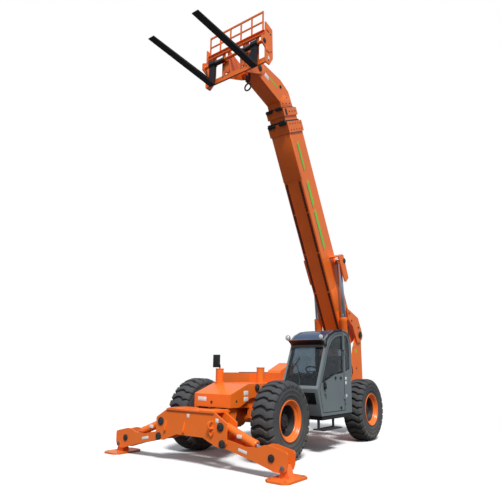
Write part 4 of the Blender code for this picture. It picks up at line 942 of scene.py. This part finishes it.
# columns: name, body, first and last place along the boom, underside of the collar, block's middle and half width,
# block's top above that underside, roller's place, how far it sticks out, its radius
WEAR_BLOCKS = (("outer_wear_blocks", "boom_outer", 5.79, 5.905, OUTER_LOW - 0.0303, 0.16, 0.085, 0.0403, 5.84,
                0.015, 0.032),
               ("mid_wear_blocks", "boom_mid", 6.155, 6.232, OUTER_LOW + MID_D - 0.0283, 0.14, 0.080, 0.020, 6.19,
                0.010, 0.028))
for name, body, u0, u1, low, mid, half, top, roller, past, radius in WEAR_BLOCKS:
    pads = Build(BOOM)
    for y in (-mid, mid):
        pads.box(u0, u1, y - half, y + half, low - 0.05, low + top)
        pads.cyl((roller, y - half - past, low - 0.02), (roller, y + half + past, low - 0.02), radius, sides=24)
    pads.done(name, body, BLACK, 0.005)

collar = Build(BOOM)
for sign in (1, -1):
    y = sign * (OUTER_HALF - MID_D + 0.0283)
    for w in (-0.55, -0.40, -0.25, -0.10):
        collar.bolt((6.105, y, w), (0, sign, 0), 0.013, 0.010)
    collar.box(6.03, 6.18, *sorted((y, y + sign * 0.008)), -0.60, -0.52)
collar.done("mid_collar_bolts", "boom_mid", PINCAP, 0.001)

# gooseneck
NECK_SIDE = 0.1853        # outer face of the gooseneck, with a seating gap
neck = Build(BOOM)
for sign in (1, -1):
    for doubler in ([(6.26, -0.60), (6.40, -0.60), (6.52, -0.36), (6.44, -0.10), (6.26, -0.09)],
                    [(6.96, -1.20), (7.07, -1.33), (7.15, -1.34), (7.21, -0.98), (7.10, -0.88)]):
        neck.side(doubler, sign, NECK_SIDE, 0.006)
neck.done("neck_doublers", "boom_inner", ORANGE, 0.002)
neck = Build(BOOM)
for sign in (1, -1):
    y = sign * 0.1913
    for u, w in ((6.31, -0.53), (6.31, -0.35), (6.31, -0.17), (6.45, -0.26)):
        neck.bolt((u, y, w), (0, sign, 0), 0.012, 0.010)
    neck.cyl((6.72, sign * NECK_SIDE, -0.42), (6.72, sign * 0.200, -0.42), 0.040, sides=28)
    neck.bolt((6.72, sign * 0.200, -0.42), (0, sign, 0), 0.016, 0.010)
neck.done("neck_bolts", "boom_inner", PINCAP, 0.001)
neck = Build(BOOM)
for sign in (1, -1):
    neck.side([(6.86, -0.92), (6.98, -1.04), (7.06, -0.96), (6.94, -0.84)], sign, NECK_SIDE, 0.0015)
neck.done("neck_blank_plates", "boom_inner", PLATE, 0.0003)
neck = Build(BOOM)
for sign in (1, -1):
    neck.side([(6.70, -0.60), (6.90, -0.82), (6.93, -0.79), (6.73, -0.57)], sign, NECK_SIDE, 0.0015)
neck.done("neck_stripes", "boom_inner", STRIPE, 0.0)

# ---------------------------------------------------------------- carriage
HALF = 0.84
spring = Build()
for a, b in ((-0.505, -0.235), (0.235, 0.505)):
    line = []
    turns = 11
    for i in range(turns * 14 + 1):
        t = i / (turns * 14)
        angle = 2 * math.pi * turns * t
        line.append(Vector((SHAFT[0] + 0.050 * math.cos(angle), a + (b - a) * t,
                            SHAFT[1] + 0.050 * math.sin(angle))))
    spring.sweep(line, 0.009, 8)
spring.done("shaft_springs", "fork_carriage", DARK, 0.0)
shaft = Build()
for sign in (1, -1):
    y = sign * (HALF + GAP)
    shaft.cyl((SHAFT[0], y, SHAFT[1]), (SHAFT[0], y + sign * 0.016, SHAFT[1]), 0.052, sides=28)
    shaft.bolt((SHAFT[0], y + sign * 0.016, SHAFT[1]), (0, sign, 0), 0.014, 0.010)
    for x, z in ((1.90, 8.50), (1.88, 8.08), (1.96, 7.84)):
        shaft.bolt((x, y, z), (0, sign, 0), 0.013, 0.012)
    shaft.cyl((TILT[0], sign * 0.2303, TILT[1]), (TILT[0], sign * 0.250, TILT[1]), 0.070, sides=28)
    shaft.bolt((TILT[0], sign * 0.250, TILT[1]), (0, sign, 0), 0.016, 0.012)
    shaft.cyl((1.80, sign * 0.2303, 8.32), (1.80, sign * 0.246, 8.32), 0.055, sides=28)
shaft.done("carriage_pins", "fork_carriage", PINCAP, 0.002)
frame_trim = Build()
for sign in (1, -1):
    frame_trim.side([(1.93, 8.02), (2.05, 8.02), (2.05, 8.12), (1.96, 8.14)], sign, HALF + GAP, 0.010)
    frame_trim.side([(1.94, 8.52), (2.05, 8.52), (2.05, 8.62), (1.94, 8.62)], sign, HALF + GAP, 0.010)
    for y0 in (0.33, 0.60):
        mid = sign * y0
        gusset = [(CARRIAGE_FRONT, 7.86), (2.075, 7.86), (CARRIAGE_FRONT, 8.00)]
        frame_trim.prism(gusset, mid - 0.008, mid + 0.008, "xz")
    frame_trim.box(2.0505, 2.072, sign * 0.215 - 0.055, sign * 0.215 + 0.055, 7.90, 8.22)
frame_trim.box(CARRIAGE_FRONT, 2.080, -HALF + 0.05, HALF - 0.05, 8.435, 8.450)
frame_trim.box(CARRIAGE_FRONT, 2.080, -HALF + 0.05, HALF - 0.05, 8.530, 8.545)
frame_trim.box(CARRIAGE_FRONT, 2.064, -HALF + 0.05, HALF - 0.05, 7.752, 7.768)
frame_trim.done("carriage_ribs", "fork_carriage", ORANGE, 0.002)
tags = Build()
for sign in (1, -1):
    y = sign * (HALF + GAP)
    low, high = sorted((y, y + sign * 0.0015))
    tags.box(1.925, 1.985, low, high, 7.83, 7.93)
    tags.box(1.955, 2.010, low, high, 8.53, 8.61)
tags.done("carriage_blank_plates", "fork_carriage", PLATE, 0.0003)
for side, sign in SIDES:
    arm = Build()
    for dy in (-0.0835, 0.0835):
        centre = (SHAFT[0], sign * FORK_Y + dy, SHAFT[1])
        arm.turned([(0.0362, -0.008), (0.060, -0.008), (0.060, 0.008), (0.0362, 0.008)], centre, (0, 1, 0), 28)
    arm.done(f"fork_{side}_collars", f"fork_{side}", FORK, 0.002)

# ---------------------------------------------------------------- floor, light, camera
scene = bpy.context.scene
FLOOR_R = 16.0
floor_mesh = bmesh.new()
bmesh.ops.create_circle(floor_mesh, cap_ends=True, cap_tris=True, segments=96, radius=FLOOR_R)
floor_data = bpy.data.meshes.new("floor")
floor_mesh.to_mesh(floor_data)
floor_mesh.free()
floor = bpy.data.objects.new("floor", floor_data)
floor.location = (0.0, 0.0, -0.0005)
scene.collection.objects.link(floor)
floor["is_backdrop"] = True
mat = bpy.data.materials.new("floor_white")
mat.use_nodes = True
tree = mat.node_tree
tree.nodes.remove(tree.nodes["Principled BSDF"])
output = tree.nodes["Material Output"]
rays = tree.nodes.new("ShaderNodeLightPath")
seen = tree.nodes.new("ShaderNodeMath")
seen.operation = "MAXIMUM"
tree.links.new(rays.outputs["Is Camera Ray"], seen.inputs[0])
tree.links.new(rays.outputs["Is Transmission Ray"], seen.inputs[1])
tint = tree.nodes.new("ShaderNodeMix")
tint.data_type = "RGBA"
tint.inputs[6].default_value = (0.15, 0.145, 0.14, 1.0)
tint.inputs[7].default_value = (0.93, 0.93, 0.93, 1.0)
tree.links.new(seen.outputs[0], tint.inputs[0])
matte = tree.nodes.new("ShaderNodeBsdfDiffuse")
tree.links.new(tint.outputs[2], matte.inputs["Color"])
clear = tree.nodes.new("ShaderNodeBsdfTransparent")
place = tree.nodes.new("ShaderNodeTexCoord")
length = tree.nodes.new("ShaderNodeVectorMath")
length.operation = "LENGTH"
tree.links.new(place.outputs["Object"], length.inputs[0])
fade = tree.nodes.new("ShaderNodeMapRange")
fade.interpolation_type = "SMOOTHSTEP"
fade.inputs["From Min"].default_value = 3.6
fade.inputs["From Max"].default_value = 7.0
tree.links.new(length.outputs["Value"], fade.inputs["Value"])
join = tree.nodes.new("ShaderNodeMixShader")
tree.links.new(fade.outputs["Result"], join.inputs[0])
tree.links.new(matte.outputs[0], join.inputs[1])
tree.links.new(clear.outputs[0], join.inputs[2])
tree.links.new(join.outputs[0], output.inputs["Surface"])
floor_data.materials.append(mat)

world = bpy.data.worlds.new("studio")
scene.world = world
world.use_nodes = True
tree = world.node_tree
back = tree.nodes["Background"]
back.inputs["Color"].default_value = (0.86, 0.93, 1.0, 1.0)
back.inputs["Strength"].default_value = 0.42
sky = tree.nodes.new("ShaderNodeMapRange")
sky.inputs["From Min"].default_value = -0.15
sky.inputs["From Max"].default_value = 0.25
sky.inputs["To Min"].default_value = 0.14
sky.inputs["To Max"].default_value = 0.50
height = tree.nodes.new("ShaderNodeSeparateXYZ")
tree.links.new(tree.nodes.new("ShaderNodeTexCoord").outputs["Generated"], height.inputs[0])
tree.links.new(height.outputs["Z"], sky.inputs["Value"])
tree.links.new(sky.outputs["Result"], back.inputs["Strength"])
white = tree.nodes.new("ShaderNodeBackground")
white.inputs["Color"].default_value = (1.0, 1.0, 1.0, 1.0)
white.inputs["Strength"].default_value = 1.0
rays = tree.nodes.new("ShaderNodeLightPath")
pick = tree.nodes.new("ShaderNodeMath")
pick.operation = "MAXIMUM"
tree.links.new(rays.outputs["Is Camera Ray"], pick.inputs[0])
tree.links.new(rays.outputs["Is Transmission Ray"], pick.inputs[1])
mixed = tree.nodes.new("ShaderNodeMixShader")
tree.links.new(pick.outputs[0], mixed.inputs[0])
tree.links.new(back.outputs[0], mixed.inputs[1])
tree.links.new(white.outputs[0], mixed.inputs[2])
tree.links.new(mixed.outputs[0], tree.nodes["World Output"].inputs["Surface"])


def sun(name, towards, energy, angle):
    lamp = bpy.data.lights.new(name, "SUN")
    lamp.energy = energy
    lamp.angle = math.radians(angle)
    obj = bpy.data.objects.new(name, lamp)
    obj.rotation_euler = Vector(towards).to_track_quat("Z", "Y").to_euler()
    scene.collection.objects.link(obj)


sun("key", (0.40, 0.45, 0.80), 3.5, 14.0)

camera_data = bpy.data.cameras.new("camera")
camera_data.sensor_width = 36.0
camera_data.lens = 34.27
camera = bpy.data.objects.new("camera", camera_data)
scene.collection.objects.link(camera)
yaw, pitch, roll = 3.788, 0.246, 0.013
ahead = Vector((math.cos(pitch) * math.cos(yaw), math.cos(pitch) * math.sin(yaw), math.sin(pitch)))
flat_right = ahead.cross(Vector((0, 0, 1))).normalized()
flat_up = flat_right.cross(ahead)
right = flat_right * math.cos(roll) + flat_up * math.sin(roll)
upward = flat_up * math.cos(roll) - flat_right * math.sin(roll)
turn = Matrix((right, upward, -ahead)).transposed().to_4x4()
camera.matrix_world = Matrix.Translation((9.128 + SHIFT, 5.824, 1.528)) @ turn
camera_data.clip_end = 200.0
scene.camera = camera
scene.view_settings.view_transform = "Standard"

low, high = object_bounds()
